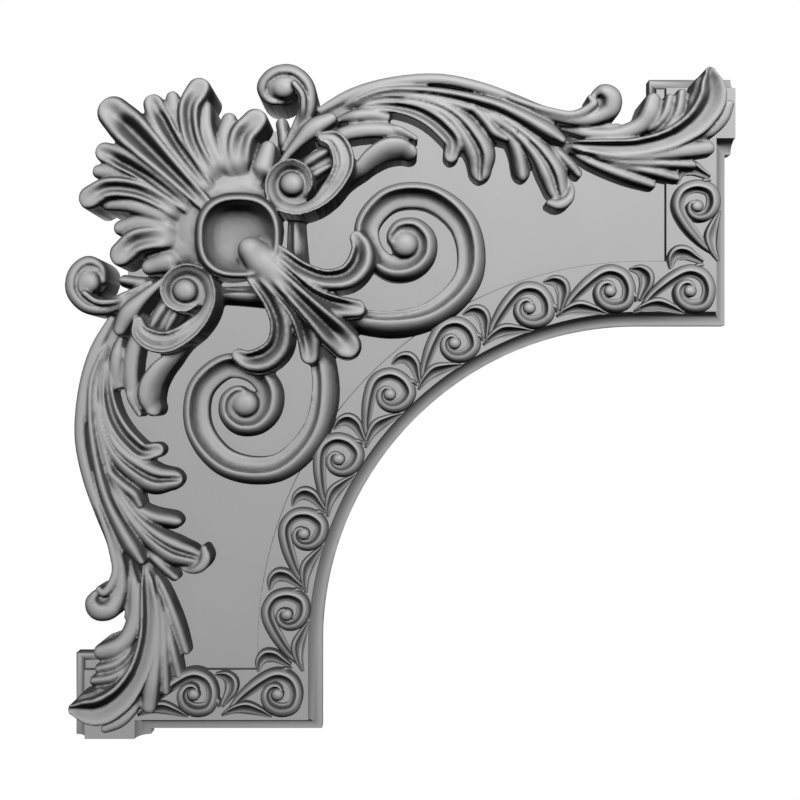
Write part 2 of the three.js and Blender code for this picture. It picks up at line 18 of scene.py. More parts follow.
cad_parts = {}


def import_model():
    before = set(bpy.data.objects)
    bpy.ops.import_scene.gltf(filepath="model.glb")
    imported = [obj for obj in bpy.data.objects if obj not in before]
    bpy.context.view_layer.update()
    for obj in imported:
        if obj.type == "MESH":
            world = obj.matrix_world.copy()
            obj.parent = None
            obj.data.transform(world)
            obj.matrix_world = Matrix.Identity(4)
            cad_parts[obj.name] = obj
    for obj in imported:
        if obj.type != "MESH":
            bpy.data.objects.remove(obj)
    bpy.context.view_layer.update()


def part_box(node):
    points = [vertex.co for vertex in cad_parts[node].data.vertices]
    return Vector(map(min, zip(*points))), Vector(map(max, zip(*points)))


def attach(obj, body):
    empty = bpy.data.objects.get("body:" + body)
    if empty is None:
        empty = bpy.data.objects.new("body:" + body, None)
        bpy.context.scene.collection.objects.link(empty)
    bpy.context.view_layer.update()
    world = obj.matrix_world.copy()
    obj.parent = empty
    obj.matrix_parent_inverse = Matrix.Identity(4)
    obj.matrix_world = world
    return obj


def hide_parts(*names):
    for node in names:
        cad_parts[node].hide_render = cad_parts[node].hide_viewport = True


log = logging.getLogger("corner_moulding")

MILLIMETRE = 0.001

# Board, in millimetres
ARM_WIDTH = 116.7
ARM_LENGTH = 361.8
ARCH_RADIUS = 193.2
BOARD_DEPTH = 14.4
COVE_RUN = 7.8
COVE_DROP = 7.8
FIELD_SINK = 2.4
FIELD_BEVEL = 0.6
BORDER_WIDTH = 30.6
SHOULDER_START = 105.0
SHOULDER_LENGTH = 154.0
SHOULDER_RISE = 24.5
BLOCK_LENGTH = 49.6
BLOCK_OVERRUN = 3.6
BLOCK_RISE = 33.0
BLOCK_FOOT = 12.6
BLOCK_BEVEL_RUN = 3.1
FREE_EDGE_FROM = 300.0

# Setting out of the carving
STEPS_PER_ARM = 603
GRID = ARM_LENGTH / STEPS_PER_ARM
SHEET_CORNER = (223.75, 227.25)
SIGHT = (400.0, 400.0)
SIGHT_DISTANCE = 850.0
MIRROR_SHIFT = 1.0
ROOT_SINK = 1.0
ROOT_DEPTH = BOARD_DEPTH - FIELD_SINK - ROOT_SINK
STATION_STEP = 3.0
TIP_FALL = 0.35
TIP_ANGLES = (20.0, 38.0, 54.0, 68.0, 80.0, 88.0)
EMERGE_LENGTH = 26.0
EMERGE_SINK = 8.0
EMERGE_WIDTH = 0.55
EMERGE_GROWTH = 0.45
FLUTE_LENGTH = 60.0
CLOSE_LENGTH = 20.0
CLOSE_SHARE = 0.4
RIGHTWARDS = 0.0
UPWARDS = -90.0

Row = tuple[float, ...]
Rows = tuple[Row, ...]


class Sweep(Enum):
    """How a section goes from one place to the next."""

    LINE = "line"
    WAVE = "wave"
    ROUND = "round"
    SWELL = "swell"
    DISH = "dish"


@dataclass(frozen=True)
class Knot:
    """A place across a section, the fall below the crest there, and the sweep to the next."""

    across: float
    fall: float
    sweep: Sweep = Sweep.WAVE
    steps: int = 3


class Section(Enum):
    """Sections of the carving, in shares of the half width; +1 is the side that looks outwards."""

    ROUND = (Knot(-1, 0.75, Sweep.ROUND, 5), Knot(0.1, 0, Sweep.ROUND, 5), Knot(1, 0.7))
    ARRIS = (Knot(-1, 1.15, Sweep.SWELL, 4), Knot(0.15, 0, Sweep.SWELL, 4), Knot(1, 0.95))
    PLAIN = (
        Knot(-1, 0.7, Sweep.ROUND, 4),
        Knot(-0.62, 0.16, Sweep.WAVE, 5),
        Knot(0.05, 0.04, Sweep.WAVE, 5),
        Knot(0.7, 0.18, Sweep.ROUND, 4),
        Knot(1, 0.7),
    )
    GOUGE = (
        Knot(-1, 0.75, Sweep.ROUND, 4),
        Knot(-0.68, 0, Sweep.WAVE, 5),
        Knot(0, 0.76, Sweep.WAVE, 5),
        Knot(0.68, 0, Sweep.ROUND, 4),
        Knot(1, 0.75),
    )
    SPOON = (
        Knot(-1, 0.9, Sweep.ROUND, 4),
        Knot(-0.45, 0, Sweep.WAVE, 5),
        Knot(0.38, 0.85, Sweep.WAVE, 5),
        Knot(0.82, 0, Sweep.ROUND, 4),
        Knot(1, 0.45),
    )
    SCOOP = (
        Knot(-1, 0.45, Sweep.ROUND, 4),
        Knot(-0.82, 0, Sweep.WAVE, 5),
        Knot(-0.38, 0.85, Sweep.WAVE, 5),
        Knot(0.45, 0, Sweep.ROUND, 4),
        Knot(1, 0.9),
    )
    CURL = (
        Knot(-1, 1.5, Sweep.SWELL, 4),
        Knot(-0.3, 0, Sweep.WAVE, 5),
        Knot(0.1, 0.55, Sweep.WAVE, 5),
        Knot(0.78, 0.05, Sweep.ROUND, 4),
        Knot(1, 0.6),
    )
    TWIN = (
        Knot(-1, 0.95, Sweep.ROUND, 5),
        Knot(-0.3, 0.08, Sweep.WAVE, 3),
        Knot(0.02, 0.4, Sweep.WAVE, 3),
        Knot(0.3, 0, Sweep.ROUND, 5),
        Knot(1, 0.8),
    )
    HORN = (Knot(-1, 0.85, Sweep.SWELL, 8), Knot(0.7, 0, Sweep.ROUND, 4), Knot(1, 0.45))
    FLUTED = (
        Knot(-1, 0.75, Sweep.ROUND, 5),
        Knot(-0.15, 0, Sweep.WAVE, 3),
        Knot(0.3, 0.42, Sweep.WAVE, 3),
        Knot(0.62, 0.06, Sweep.ROUND, 4),
        Knot(1, 0.6),
    )
    BLADE = (
        Knot(-1, 0.7, Sweep.ROUND, 2),
        Knot(-0.86, 0.6, Sweep.WAVE, 4),
        Knot(0.15, 0.95, Sweep.WAVE, 5),
        Knot(0.74, 0, Sweep.ROUND, 4),
        Knot(1, 0.4),
    )
    RIDGE = (Knot(-1, 1.1, Sweep.DISH, 6), Knot(-0.05, 0, Sweep.SWELL, 6), Knot(1, 0.75))
    HOLLOW = (
        Knot(-1, 0.6, Sweep.ROUND, 3),
        Knot(-0.7, 1.1, Sweep.DISH, 6),
        Knot(0.45, 0, Sweep.ROUND, 5),
        Knot(1, 0.7),
    )
    STRAP_EYE = (
        Knot(-1, 0.95, Sweep.ROUND, 3),
        Knot(-0.8, 0.75, Sweep.DISH, 6),
        Knot(0, 0, Sweep.SWELL, 5),
        Knot(1, 0.9),
    )
    STRAP_TOP = (
        Knot(-1, 0.95, Sweep.ROUND, 3),
        Knot(-0.45, 0.78, Sweep.DISH, 6),
        Knot(0.56, 0, Sweep.SWELL, 5),
        Knot(1, 0.4),
    )
    STRAP_LOW = (
        Knot(-1, 0.35, Sweep.ROUND, 3),
        Knot(-0.72, 0.45, Sweep.DISH, 6),
        Knot(-0.28, 0, Sweep.SWELL, 5),
        Knot(1, 1.1),
    )
    VOLUTE_COIL = (
        Knot(-1, 1.6, Sweep.LINE, 2),
        Knot(-0.83, 1.35, Sweep.LINE, 2),
        Knot(-0.5, 1.05, Sweep.LINE, 2),
        Knot(-0.17, 0.75, Sweep.LINE, 3),
        Knot(0.5, 0.5, Sweep.WAVE, 4),
        Knot(0.84, 0, Sweep.ROUND, 3),
        Knot(1, 0.3),
    )
    VOLUTE_TAIL = (
        Knot(-1, 0.35, Sweep.LINE, 2),
        Knot(-0.83, 0.05, Sweep.LINE, 2),
        Knot(-0.5, 0.42, Sweep.LINE, 2),
        Knot(-0.17, 0.15, Sweep.LINE, 3),
        Knot(0.5, 0.4, Sweep.WAVE, 4),
        Knot(0.84, 0, Sweep.ROUND, 3),
        Knot(1, 0.3),
    )

    def profile(self) -> np.ndarray:
        """Works out the section's points, the sweeps one after another.

        A wave is half a cosine, a round is a quarter of an ellipse that is level at its higher
        end, a swell is a parabola level at its higher end, and a dish one level at its lower end.

        Returns:
            Rows of place across and fall, from one edge to the other.
        """
        parts: list[np.ndarray] = []
        for knot, beyond in zip(self.value, self.value[1:]):
            way = np.linspace(0.0, 1.0, knot.steps + 1)[:-1]
            rising = beyond.fall < knot.fall
            if knot.sweep is Sweep.ROUND:
                way = 1.0 - np.cos(way * math.pi / 2) if rising else np.sin(way * math.pi / 2)
            down = way if not rising else 1.0 - way
            share = {
                Sweep.LINE: down,
                Sweep.WAVE: (1.0 - np.cos(math.pi * down)) / 2,
                Sweep.ROUND: 1.0 - np.sqrt(np.clip(1.0 - down**2, 0.0, 1.0)),
                Sweep.SWELL: down**2,
                Sweep.DISH: 1.0 - (1.0 - down) ** 2,
            }[knot.sweep]
            low, high = (knot.fall, beyond.fall) if rising else (beyond.fall, knot.fall)
            place = knot.across + (beyond.across - knot.across) * way
            parts.append(np.stack([place, high + (low - high) * share], 1))
        parts.append(np.array([[self.value[-1].across, self.value[-1].fall]], float))
        return np.concatenate(parts)


def on_board(x: np.ndarray, y: np.ndarray, rise: np.ndarray) -> np.ndarray:
    """Puts points of the sheet in space: a place is drawn in towards the sight point by its rise.

    Args:
        x: Places across the sheet.
        y: Places down the sheet.
        rise: Rises over the border, in steps of the sheet.

    Returns:
        Points in millimetres, the carved front facing -Y.
    """
    nearer = (SIGHT_DISTANCE - rise) / SIGHT_DISTANCE
    return np.stack(
        [
            (SIGHT[0] + (x - SIGHT[0]) * nearer - SHEET_CORNER[0]) * GRID,
            -BOARD_DEPTH - rise * GRID,
            -(SIGHT[1] + (y - SIGHT[1]) * nearer - SHEET_CORNER[1]) * GRID,
        ],
        -1,
    )


def smooth_line(rows: np.ndarray, step: float) -> np.ndarray:
    """Runs a smooth line through rows: cubic pieces whose slopes weigh both neighbouring gaps.

    Args:
        rows: Place across and down, then any values that go along.
        step: Longest gap between the points of the line.

    Returns:
        The rows of the line, close enough together to be carried as rings.
    """
    gaps = np.hypot(*np.diff(rows[:, :2], axis=0).T)
    slopes = np.diff(rows, axis=0) / gaps[:, None]
    weighed = slopes[1:] * gaps[:-1, None] + slopes[:-1] * gaps[1:, None]
    bends = np.concatenate([slopes[:1], weighed / (gaps[1:] + gaps[:-1])[:, None], slopes[-1:]])
    parts: list[np.ndarray] = []
    for i, gap in enumerate(gaps):
        t = np.linspace(0.0, 1.0, max(2, math.ceil(gap / step)) + 1)[:-1, None]
        parts.append(
            (2 * t**3 - 3 * t**2 + 1) * rows[i]
            + (t**3 - 2 * t**2 + t) * gap * bends[i]
            + (3 * t**2 - 2 * t**3) * rows[i + 1]
            + (t**3 - t**2) * gap * bends[i + 1]
        )
    return np.concatenate([*parts, rows[-1:]])


@dataclass
class Shell:
    """A closed skin of triangles with its faces outwards."""

    points: np.ndarray
    faces: np.ndarray

    def __post_init__(self) -> None:
        """Turns the faces round if the enclosed volume comes out negative."""
        first, second, third = (self.points[self.faces[:, k]] for k in range(3))
        if np.einsum("ij,ij->i", first, np.cross(second, third)).sum() < 0:
            self.faces = self.faces[:, ::-1].copy()

    def to_object(self, name: str) -> bpy.types.Object:
        """Makes it an object in metres.

        Args:
            name: Name of the object.

        Returns:
            The new object, linked to the scene.
        """
        mesh = bpy.data.meshes.new(name)
        mesh.vertices.add(len(self.points))
        mesh.vertices.foreach_set("co", (self.points * MILLIMETRE).astype(np.float32).ravel())
        count = len(self.faces)
        mesh.loops.add(count * 3)
        mesh.loops.foreach_set("vertex_index", self.faces.astype(np.int32).ravel())
        mesh.polygons.add(count)
        mesh.polygons.foreach_set("loop_start", np.arange(0, count * 3, 3, dtype=np.int32))
        mesh.update(calc_edges=True)
        mesh.validate()
        piece = bpy.data.objects.new(name, mesh)
        bpy.context.collection.objects.link(piece)
        return piece


def lofted(rings: np.ndarray) -> Shell:
    """Joins rings of points in order and closes both ends with a fan from the ring's last point.

    Args:
        rings: Rings by points by place.

    Returns:
        The closed shell.
    """
    count, size, _ = rings.shape
    low = (np.arange(count - 1)[:, None] * size + np.arange(size)[None, :]).ravel()
    near = (np.arange(count - 1)[:, None] * size + (np.arange(size)[None, :] + 1) % size).ravel()
    sides = np.concatenate(
        [np.stack([low, near, near + size], 1), np.stack([low, near + size, low + size], 1)]
    )
    fan = np.stack([np.full(size - 2, size - 1), np.arange(size - 2), np.arange(1, size - 1)], 1)
    top = (count - 1) * size
    return Shell(rings.reshape(-1, 3), np.concatenate([sides, fan[:, [0, 2, 1]], fan + top]))


@dataclass(frozen=True)
class Frond:
    """A leaf finger, stem or band: a section carried along a smooth spine to a rounded tip.

    A row of the spine is across, down, half width and rise, and where the section changes on the
    way, also the number of the section that rules there.
    """

    sections: tuple[Section, ...]
    spine: Rows
    base: float = ROOT_DEPTH
    hand: int = 1
    step: float = STATION_STEP
    emerge: float = 0.0
    flute: float = 0.0

    def mirrored(self) -> "Frond":
        """Gives its twin across the line of symmetry of the leaf."""
        rows = tuple((y + MIRROR_SHIFT, x - MIRROR_SHIFT, *rest) for x, y, *rest in self.spine)
        return replace(self, spine=rows, hand=-self.hand)

    def line(self) -> np.ndarray:
        """Runs the spine; a frond that emerges starts low and narrow under what it grows from.

        Over the fluting length its section goes from the first to the last, by 3t^2 - 2t^3, and
        towards the tip part of the way back.

        Returns:
            Rows of across, down, half width, rise and section number.
        """
        rows = np.array([(*row, 0.0)[:5] for row in self.spine], float)
        line = smooth_line(rows, self.step)
        gone = np.concatenate([[0.0], np.cumsum(np.hypot(*np.diff(line[:, :2], axis=0).T))])
        if self.flute:
            share = np.clip(gone / min(self.flute, gone[-1]), 0.0, 1.0)
            close = np.clip((gone[-1] - gone) / CLOSE_LENGTH, 0.0, 1.0)
            kept = CLOSE_SHARE + (1 - CLOSE_SHARE) * close * close * (3 - 2 * close)
            line[:, 4] = share * share * (3 - 2 * share) * kept * (len(self.sections) - 1)
        if self.emerge:
            share = np.clip(gone / min(EMERGE_LENGTH, gone[-1] / 2), 0.0, 1.0)
            grown = share * share * (3 - 2 * share)
            line[:, 3] -= self.emerge * (1 - grown)
            line[:, 2] *= EMERGE_WIDTH + EMERGE_GROWTH * grown
        return line

    def tip(self, last: np.ndarray, along: np.ndarray) -> np.ndarray:
        """Rounds the end off by a quarter of an ellipse beyond the last place of the line.

        Its rows narrow by the cosine of an angle, go out by its sine and fall with the narrowing;
        a gouge closes by the root of one less the sine.

        Args:
            last: Last row of the line.
            along: Direction of travel there.

        Returns:
            Rows like those of the line.
        """
        angle = np.radians(np.array(TIP_ANGLES))
        closing = np.sqrt(1 - np.sin(angle)) if self.flute else np.ones(len(angle))
        return np.stack(
            [
                last[0] + along[0] * last[2] * np.sin(angle),
                last[1] + along[1] * last[2] * np.sin(angle),
                last[2] * np.cos(angle),
                last[3] - TIP_FALL * last[2] * (1 - np.cos(angle)),
                last[4] * closing,
            ],
            1,
        )

    def ruling(self, number: np.ndarray) -> np.ndarray:
        """Blends the two sections next to each number, by its share between them.

        Args:
            number: Section number at each ring.

        Returns:
            Places across and falls, each by ring and point.
        """
        profiles = np.stack([section.profile() for section in self.sections])
        number = np.clip(number, 0, len(profiles) - 1)
        low = np.minimum(number.astype(int), max(len(profiles) - 2, 0))
        high = np.minimum(low + 1, len(profiles) - 1)
        share = (number - low)[:, None, None]
        return np.moveaxis(profiles[low] * (1 - share) + profiles[high] * share, -1, 0)

    def shell(self) -> Shell:
        """Carries the section along the spine, with upright walls down to the base.

        Returns:
            The closed shell of the frond.
        """
        line = self.line()
        ahead = np.concatenate([line[1:], line[-1:]]) - np.concatenate([line[:1], line[:-1]])
        along = ahead[:, :2] / np.hypot(ahead[:, 0], ahead[:, 1])[:, None]
        rings = np.concatenate([line, self.tip(line[-1], along[-1])])
        heading = np.concatenate([along, np.repeat(along[-1:], len(TIP_ANGLES), 0)])
        place, fall = self.ruling(rings[:, 4])
        out = rings[:, 2, None] * place * self.hand
        top = on_board(
            rings[:, 0, None] + heading[:, 1, None] * out,
            rings[:, 1, None] - heading[:, 0, None] * out,
            rings[:, 3, None] - fall * rings[:, 2, None],
        )
        feet = top[:, [-1, 0]].copy()
        feet[..., 1] = -self.base
        return lofted(np.concatenate([top, feet], 1))


@dataclass(frozen=True)
class Dome:
    """A round boss: an ellipse turned round its middle, with walls down to a base."""

    x: float
    y: float
    radius: float
    rise: float
    base: float = ROOT_DEPTH
    height: float = 0.6
    lifts: Row = (0, 15, 30, 45, 60, 75, 86)
    sides: int = 28

    def mirrored(self) -> "Dome":
        """Gives its twin across the line of symmetry of the leaf."""
        return replace(self, x=self.y + MIRROR_SHIFT, y=self.x - MIRROR_SHIFT)

    def shell(self) -> Shell:
        """Turns a quarter of an ellipse round the middle: out by the cosine, up by the sine of a lift.

        Returns:
            The closed shell of the boss.
        """
        lift = np.radians(np.array(self.lifts, float))[:, None]
        turn = np.linspace(0.0, 2 * math.pi, self.sides, endpoint=False)[None, :]
        out = self.radius * np.cos(lift)
        rise = self.rise - self.height * self.radius * (1 - np.sin(lift))
        rings = on_board(self.x + out * np.cos(turn), self.y + out * np.sin(turn), rise + 0 * turn)
        foot = rings[:1].copy()
        foot[..., 1] = -self.base
        return lofted(np.concatenate([foot, rings]))


@dataclass(frozen=True)
class Volute:
    """A band that winds out from its eye and runs on into a tail."""

    centre: tuple[float, float] = (405.0, 245.0)
    start: float = 159.0
    turn: float = 45.0
    radii: Row = (9, 15.8, 20, 22.5, 22.8, 23, 23.8, 26.7, 32, 42, 47.8, 53, 62, 71, 75)
    widths: Row = (2.5, 4.2, 6, 7, 9.5, 10.5, 11.5, 12.5, 12, 12.5, 13, 13.5, 14, 14, 14)
    ruling: Row = (0, 0, 0, 0, 0, 0, 0, 0.2, 0.6, 1, 1, 1, 1.25, 1.5, 1.8)
    rise: float = 18.0
    eye_falls: Row = (5.0, 1.5)
    tail: Rows = ((395, 324.5, 14, 18, 2), (369, 323, 13, 18, 2), (330, 312, 12, 17, 2),
        (290, 301, 11, 16, 2), (262, 297, 11, 15, 2), (222, 295.5, 9, 13, 2))

    def frond(self) -> Frond:
        """Lays the band's spine: a radius and a width at each step of the turn, then the tail.

        Returns:
            The band as a frond whose section changes on the way.
        """
        angle = np.radians(self.start + self.turn * np.arange(len(self.radii)))
        x = self.centre[0] + np.array(self.radii) * np.cos(angle)
        y = self.centre[1] + np.array(self.radii) * np.sin(angle)
        rises = [self.rise - fall for fall in self.eye_falls]
        rises += [self.rise] * (len(x) - len(rises))
        rows = zip(x.tolist(), y.tolist(), self.widths, rises, self.ruling)
        return Frond((Section.STRAP_EYE, Section.STRAP_TOP, Section.STRAP_LOW), (*rows, *self.tail))


@dataclass(frozen=True)
class Cup:
    """The rounded square cup from which the drooping leaf hangs."""

    centre: tuple[float, float] = (238.5, 236.5)
    radius: float = 43.0
    squareness: float = 2.5
    sides: int = 72
    section: Rows = (
        (0.1, 25), (0.28, 25.8), (0.45, 27.8), (0.58, 31), (0.68, 35.5), (0.75, 40.5), (0.8, 45), (0.83, 48),
        (0.86, 49.8), (0.89, 50.2), (0.93, 49.4), (0.96, 47.6), (0.985, 45), (1, 41), (0.99, 30), (0.93, 0),
    )
    lip: int = 9
    hollow_depth: float = 7.0

    def rings(self, rows: Rows) -> np.ndarray:
        """Runs rows of the section round a super-ellipse.

        Args:
            rows: Shares of the radius and the rises there.

        Returns:
            Rings by points by place.
        """
        turn = np.linspace(0.0, 2 * math.pi, self.sides, endpoint=False)[None, :]
        power = self.squareness
        bulge = (np.abs(np.cos(turn)) ** power + np.abs(np.sin(turn)) ** power) ** (-1 / power)
        share, rise = (column[:, None] for column in np.array(rows, float).T)
        out = self.radius * share * bulge
        x = self.centre[0] + out * np.cos(turn)
        y = self.centre[1] + out * np.sin(turn)
        return on_board(x, y, rise + 0 * turn)

    def shell(self) -> Shell:
        """Gives the whole cup, down to the back.

        Returns:
            The closed shell of the cup.
        """
        rings = self.rings(self.section)
        foot = rings[-1:].copy()
        foot[..., 1] = 0.0
        return lofted(np.concatenate([rings, foot]))

    def holds(self, points: np.ndarray) -> np.ndarray:
        """Tells how far points lie down in the cup's hollow.

        Args:
            points: Points in millimetres.

        Returns:
            A share from 0, outside or level with the rim, to 1, a set depth below it.
        """
        # This share deepens the painted shade inside the cup.
        rim = self.rings(self.section[self.lip - 1 : self.lip])[0]
        middle = rim.mean(0)
        radius = np.abs(rim - middle)[:, [0, 2]].max()
        away = np.abs(points - middle)[:, [0, 2]]
        sunk = np.clip((points[:, 1] - middle[1]) / self.hollow_depth, 0.0, 1.0)
        return np.where((away**self.squareness).sum(1) < radius**self.squareness, sunk, 0.0)

    def hollow(self) -> Shell:
        """Gives what is cut out of the cup, up past its rim.

        Returns:
            The closed shell of the hollow.
        """
        rings = self.rings(self.section[: self.lip])
        top = rings[-1:].copy()
        top[..., 1] -= self.radius
        return lofted(np.concatenate([rings, top]))


@dataclass(frozen=True)
class Board:
    """The L-shaped board: quarter-round arch, coved edge, end blocks and sunk field."""

    cove_steps: int = 8
    arch_steps: int = 72
    shoulder_steps: int = 24
    straight: float = 1e-6
    edge_share: float = 1.02
    edge_slack: float = 0.05

    def outline(self) -> np.ndarray:
        """Goes round the back of the board.

        Returns:
            Rows of along, across and the run of cove on the edge that starts there.
        """
        start = ARM_LENGTH + BLOCK_OVERRUN - BLOCK_LENGTH
        end = ARM_LENGTH + BLOCK_OVERRUN
        share = np.linspace(0.0, 1.0, self.shoulder_steps + 1)
        bow = -SHOULDER_RISE * np.sin(math.pi * share)
        shoulder = np.stack([SHOULDER_START + SHOULDER_LENGTH * share, bow, 0 * share], 1)
        ends = np.array(
            [
                (start, 0, BLOCK_BEVEL_RUN),
                (start, -BLOCK_RISE, COVE_RUN),
                (end, -BLOCK_RISE, 0),
                (end, BLOCK_FOOT, COVE_RUN),
                (ARM_LENGTH, BLOCK_FOOT, COVE_RUN),
                (ARM_LENGTH, ARM_WIDTH, COVE_RUN),
            ]
        )
        half = np.concatenate([[(0.0, 0.0, 0.0)], shoulder, ends])
        far = ARM_WIDTH + ARCH_RADIUS
        turn = np.linspace(0.0, math.pi / 2, self.arch_steps + 1)
        run = np.full(len(turn), COVE_RUN)
        arch = np.stack([far - ARCH_RADIUS * np.sin(turn), far - ARCH_RADIUS * np.cos(turn), run], 1)
        other = half[:0:-1, [1, 0, 2]].copy()
        other[:, 2] = half[-2::-1, 2]
        return np.concatenate([half, arch, other])

    @classmethod
    def inset(cls, outline: np.ndarray, share: float) -> np.ndarray:
        """Moves each edge inwards by a share of its own run, and meets the edges again.

        Args:
            outline: Rows of along, across and run.
            share: Share of the run.

        Returns:
            Rows of along and across.
        """
        here = outline[:, :2]
        coming = here - np.roll(here, 1, 0)
        going = np.roll(here, -1, 0) - here
        coming = coming / np.linalg.norm(coming, axis=1)[:, None]
        going = going / np.linalg.norm(going, axis=1)[:, None]
        first = np.stack([-coming[:, 1], coming[:, 0]], 1) * (np.roll(outline[:, 2], 1)[:, None] * share)
        second = np.stack([-going[:, 1], going[:, 0]], 1) * (outline[:, 2, None] * share)
        cross = coming[:, 0] * going[:, 1] - coming[:, 1] * going[:, 0]
        flat = np.abs(cross) < cls.straight
        gap = second - first
        slide = (gap[:, 0] * going[:, 1] - gap[:, 1] * going[:, 0]) / np.where(flat, 1.0, cross)
        return np.where(flat[:, None], here + second, here + first + coming * slide[:, None])

    @staticmethod
    def within(polygon: np.ndarray, along: np.ndarray, across: np.ndarray) -> np.ndarray:
        """Tells which places lie inside a polygon: those with an odd count of edges beside them.

        Args:
            polygon: Rows of along and across.
            along: Places along the arm.
            across: Places across the arm.

        Returns:
            True for each place inside.
        """
        inside = np.zeros(along.shape, bool)
        for (x0, y0), (x1, y1) in zip(polygon.tolist(), np.roll(polygon, -1, 0).tolist()):
            if y0 != y1:
                crossing = x0 + (across - y0) * (x1 - x0) / (y1 - y0)
                inside ^= ((y0 > across) != (y1 > across)) & (along < crossing)
        return inside

    def overhang(self, points: np.ndarray) -> np.ndarray:
        """Tells which points hang over the edge of the board.

        Args:
            points: Points in millimetres.

        Returns:
            True for each such point.
        """
        along, across = points[:, 0] + ARM_WIDTH / 2, ARM_WIDTH / 2 - points[:, 2]
        return ~self.within(self.outline()[:, :2], along, across)

    def free_edge(self, points: np.ndarray) -> np.ndarray:
        """Tells which points lie on the cove of the arch and of the arms' ends.

        Args:
            points: Points in millimetres.

        Returns:
            True for each such point.
        """
        outline = self.outline()
        along, across = points[:, 0] + ARM_WIDTH / 2, ARM_WIDTH / 2 - points[:, 2]
        inner = self.within(self.inset(outline, self.edge_share), along, across)
        level = -points[:, 1] <= BOARD_DEPTH + self.edge_slack
        return ~inner & level & (along + across > FREE_EDGE_FROM)

    @staticmethod
    def on_plan(plan: np.ndarray, depth: float) -> np.ndarray:
        """Puts rows of along and across at a depth in front of the back."""
        return np.stack(
            [plan[:, 0] - ARM_WIDTH / 2, np.full(len(plan), -depth), ARM_WIDTH / 2 - plan[:, 1]], 1
        )

    @staticmethod
    def stacked(rings: list[np.ndarray]) -> Shell:
        """Joins flat rings and closes them with faces that follow the outline.

        Args:
            rings: Rings parallel to the back, of one size.

        Returns:
            The closed shell.
        """
        size = len(rings[0])
        shell = lofted(np.stack(rings))
        sides = 2 * (len(rings) - 1) * size
        covers: list[np.ndarray] = []
        for ring, offset in ((rings[0], 0), (rings[-1], (len(rings) - 1) * size)):
            flat = [Vector((p[0], p[2], 0.0)) for p in ring]
            cover = np.array(tessellate_polygon([flat]), int)
            first, second, third = (ring[cover[:, k]] for k in range(3))
            normal = np.cross(second - first, third - first)[:, 1]
            outward = -1.0 if offset else 1.0
            turned = normal * outward < 0
            cover[turned] = cover[turned][:, ::-1]
            covers.append(cover + offset)
        return Shell(shell.points, np.concatenate([shell.faces[:sides], *covers]))

    def shell(self) -> Shell:
        """Raises the outline to a board whose edge is coved by a quarter of a circle.

        Returns:
            The closed shell of the board.
        """
        outline = self.outline()
        rings = [self.on_plan(outline[:, :2], 0.0)]
        for turn in np.linspace(0.0, math.pi / 2, self.cove_steps + 1):
            depth = BOARD_DEPTH - COVE_DROP * math.cos(turn)
            rings.append(self.on_plan(self.inset(outline, math.sin(turn)), depth))
        return self.stacked(rings)

    def field(self) -> Shell:
        """Gives what is cut out of the front to sink the field.

        Returns:
            The closed shell of the cut, with a bevelled side.
        """
        far = ARM_WIDTH + ARCH_RADIUS
        reach = ARM_LENGTH - COVE_RUN - BORDER_WIDTH
        radius = ARCH_RADIUS + COVE_RUN + BORDER_WIDTH
        top = COVE_RUN - BLOCK_RISE
        side = ARM_LENGTH + BLOCK_OVERRUN - BLOCK_LENGTH + BLOCK_BEVEL_RUN
        spill = -BORDER_WIDTH
        half = np.array([(spill, spill), (side, spill), (side, top), (reach, top), (reach, far - radius)])
        turn = np.linspace(0.0, math.pi / 2, self.arch_steps + 1)
        arch = np.stack([far - radius * np.sin(turn), far - radius * np.cos(turn)], 1)
        plan = np.concatenate([half, arch, half[:0:-1, ::-1]])
        bevelled = self.inset(np.column_stack([plan, np.full(len(plan), -2 * FIELD_BEVEL)]), 1.0)
        low = self.on_plan(plan, BOARD_DEPTH - FIELD_SINK)
        high = self.on_plan(bevelled, BOARD_DEPTH + FIELD_SINK)
        return self.stacked([low, high])


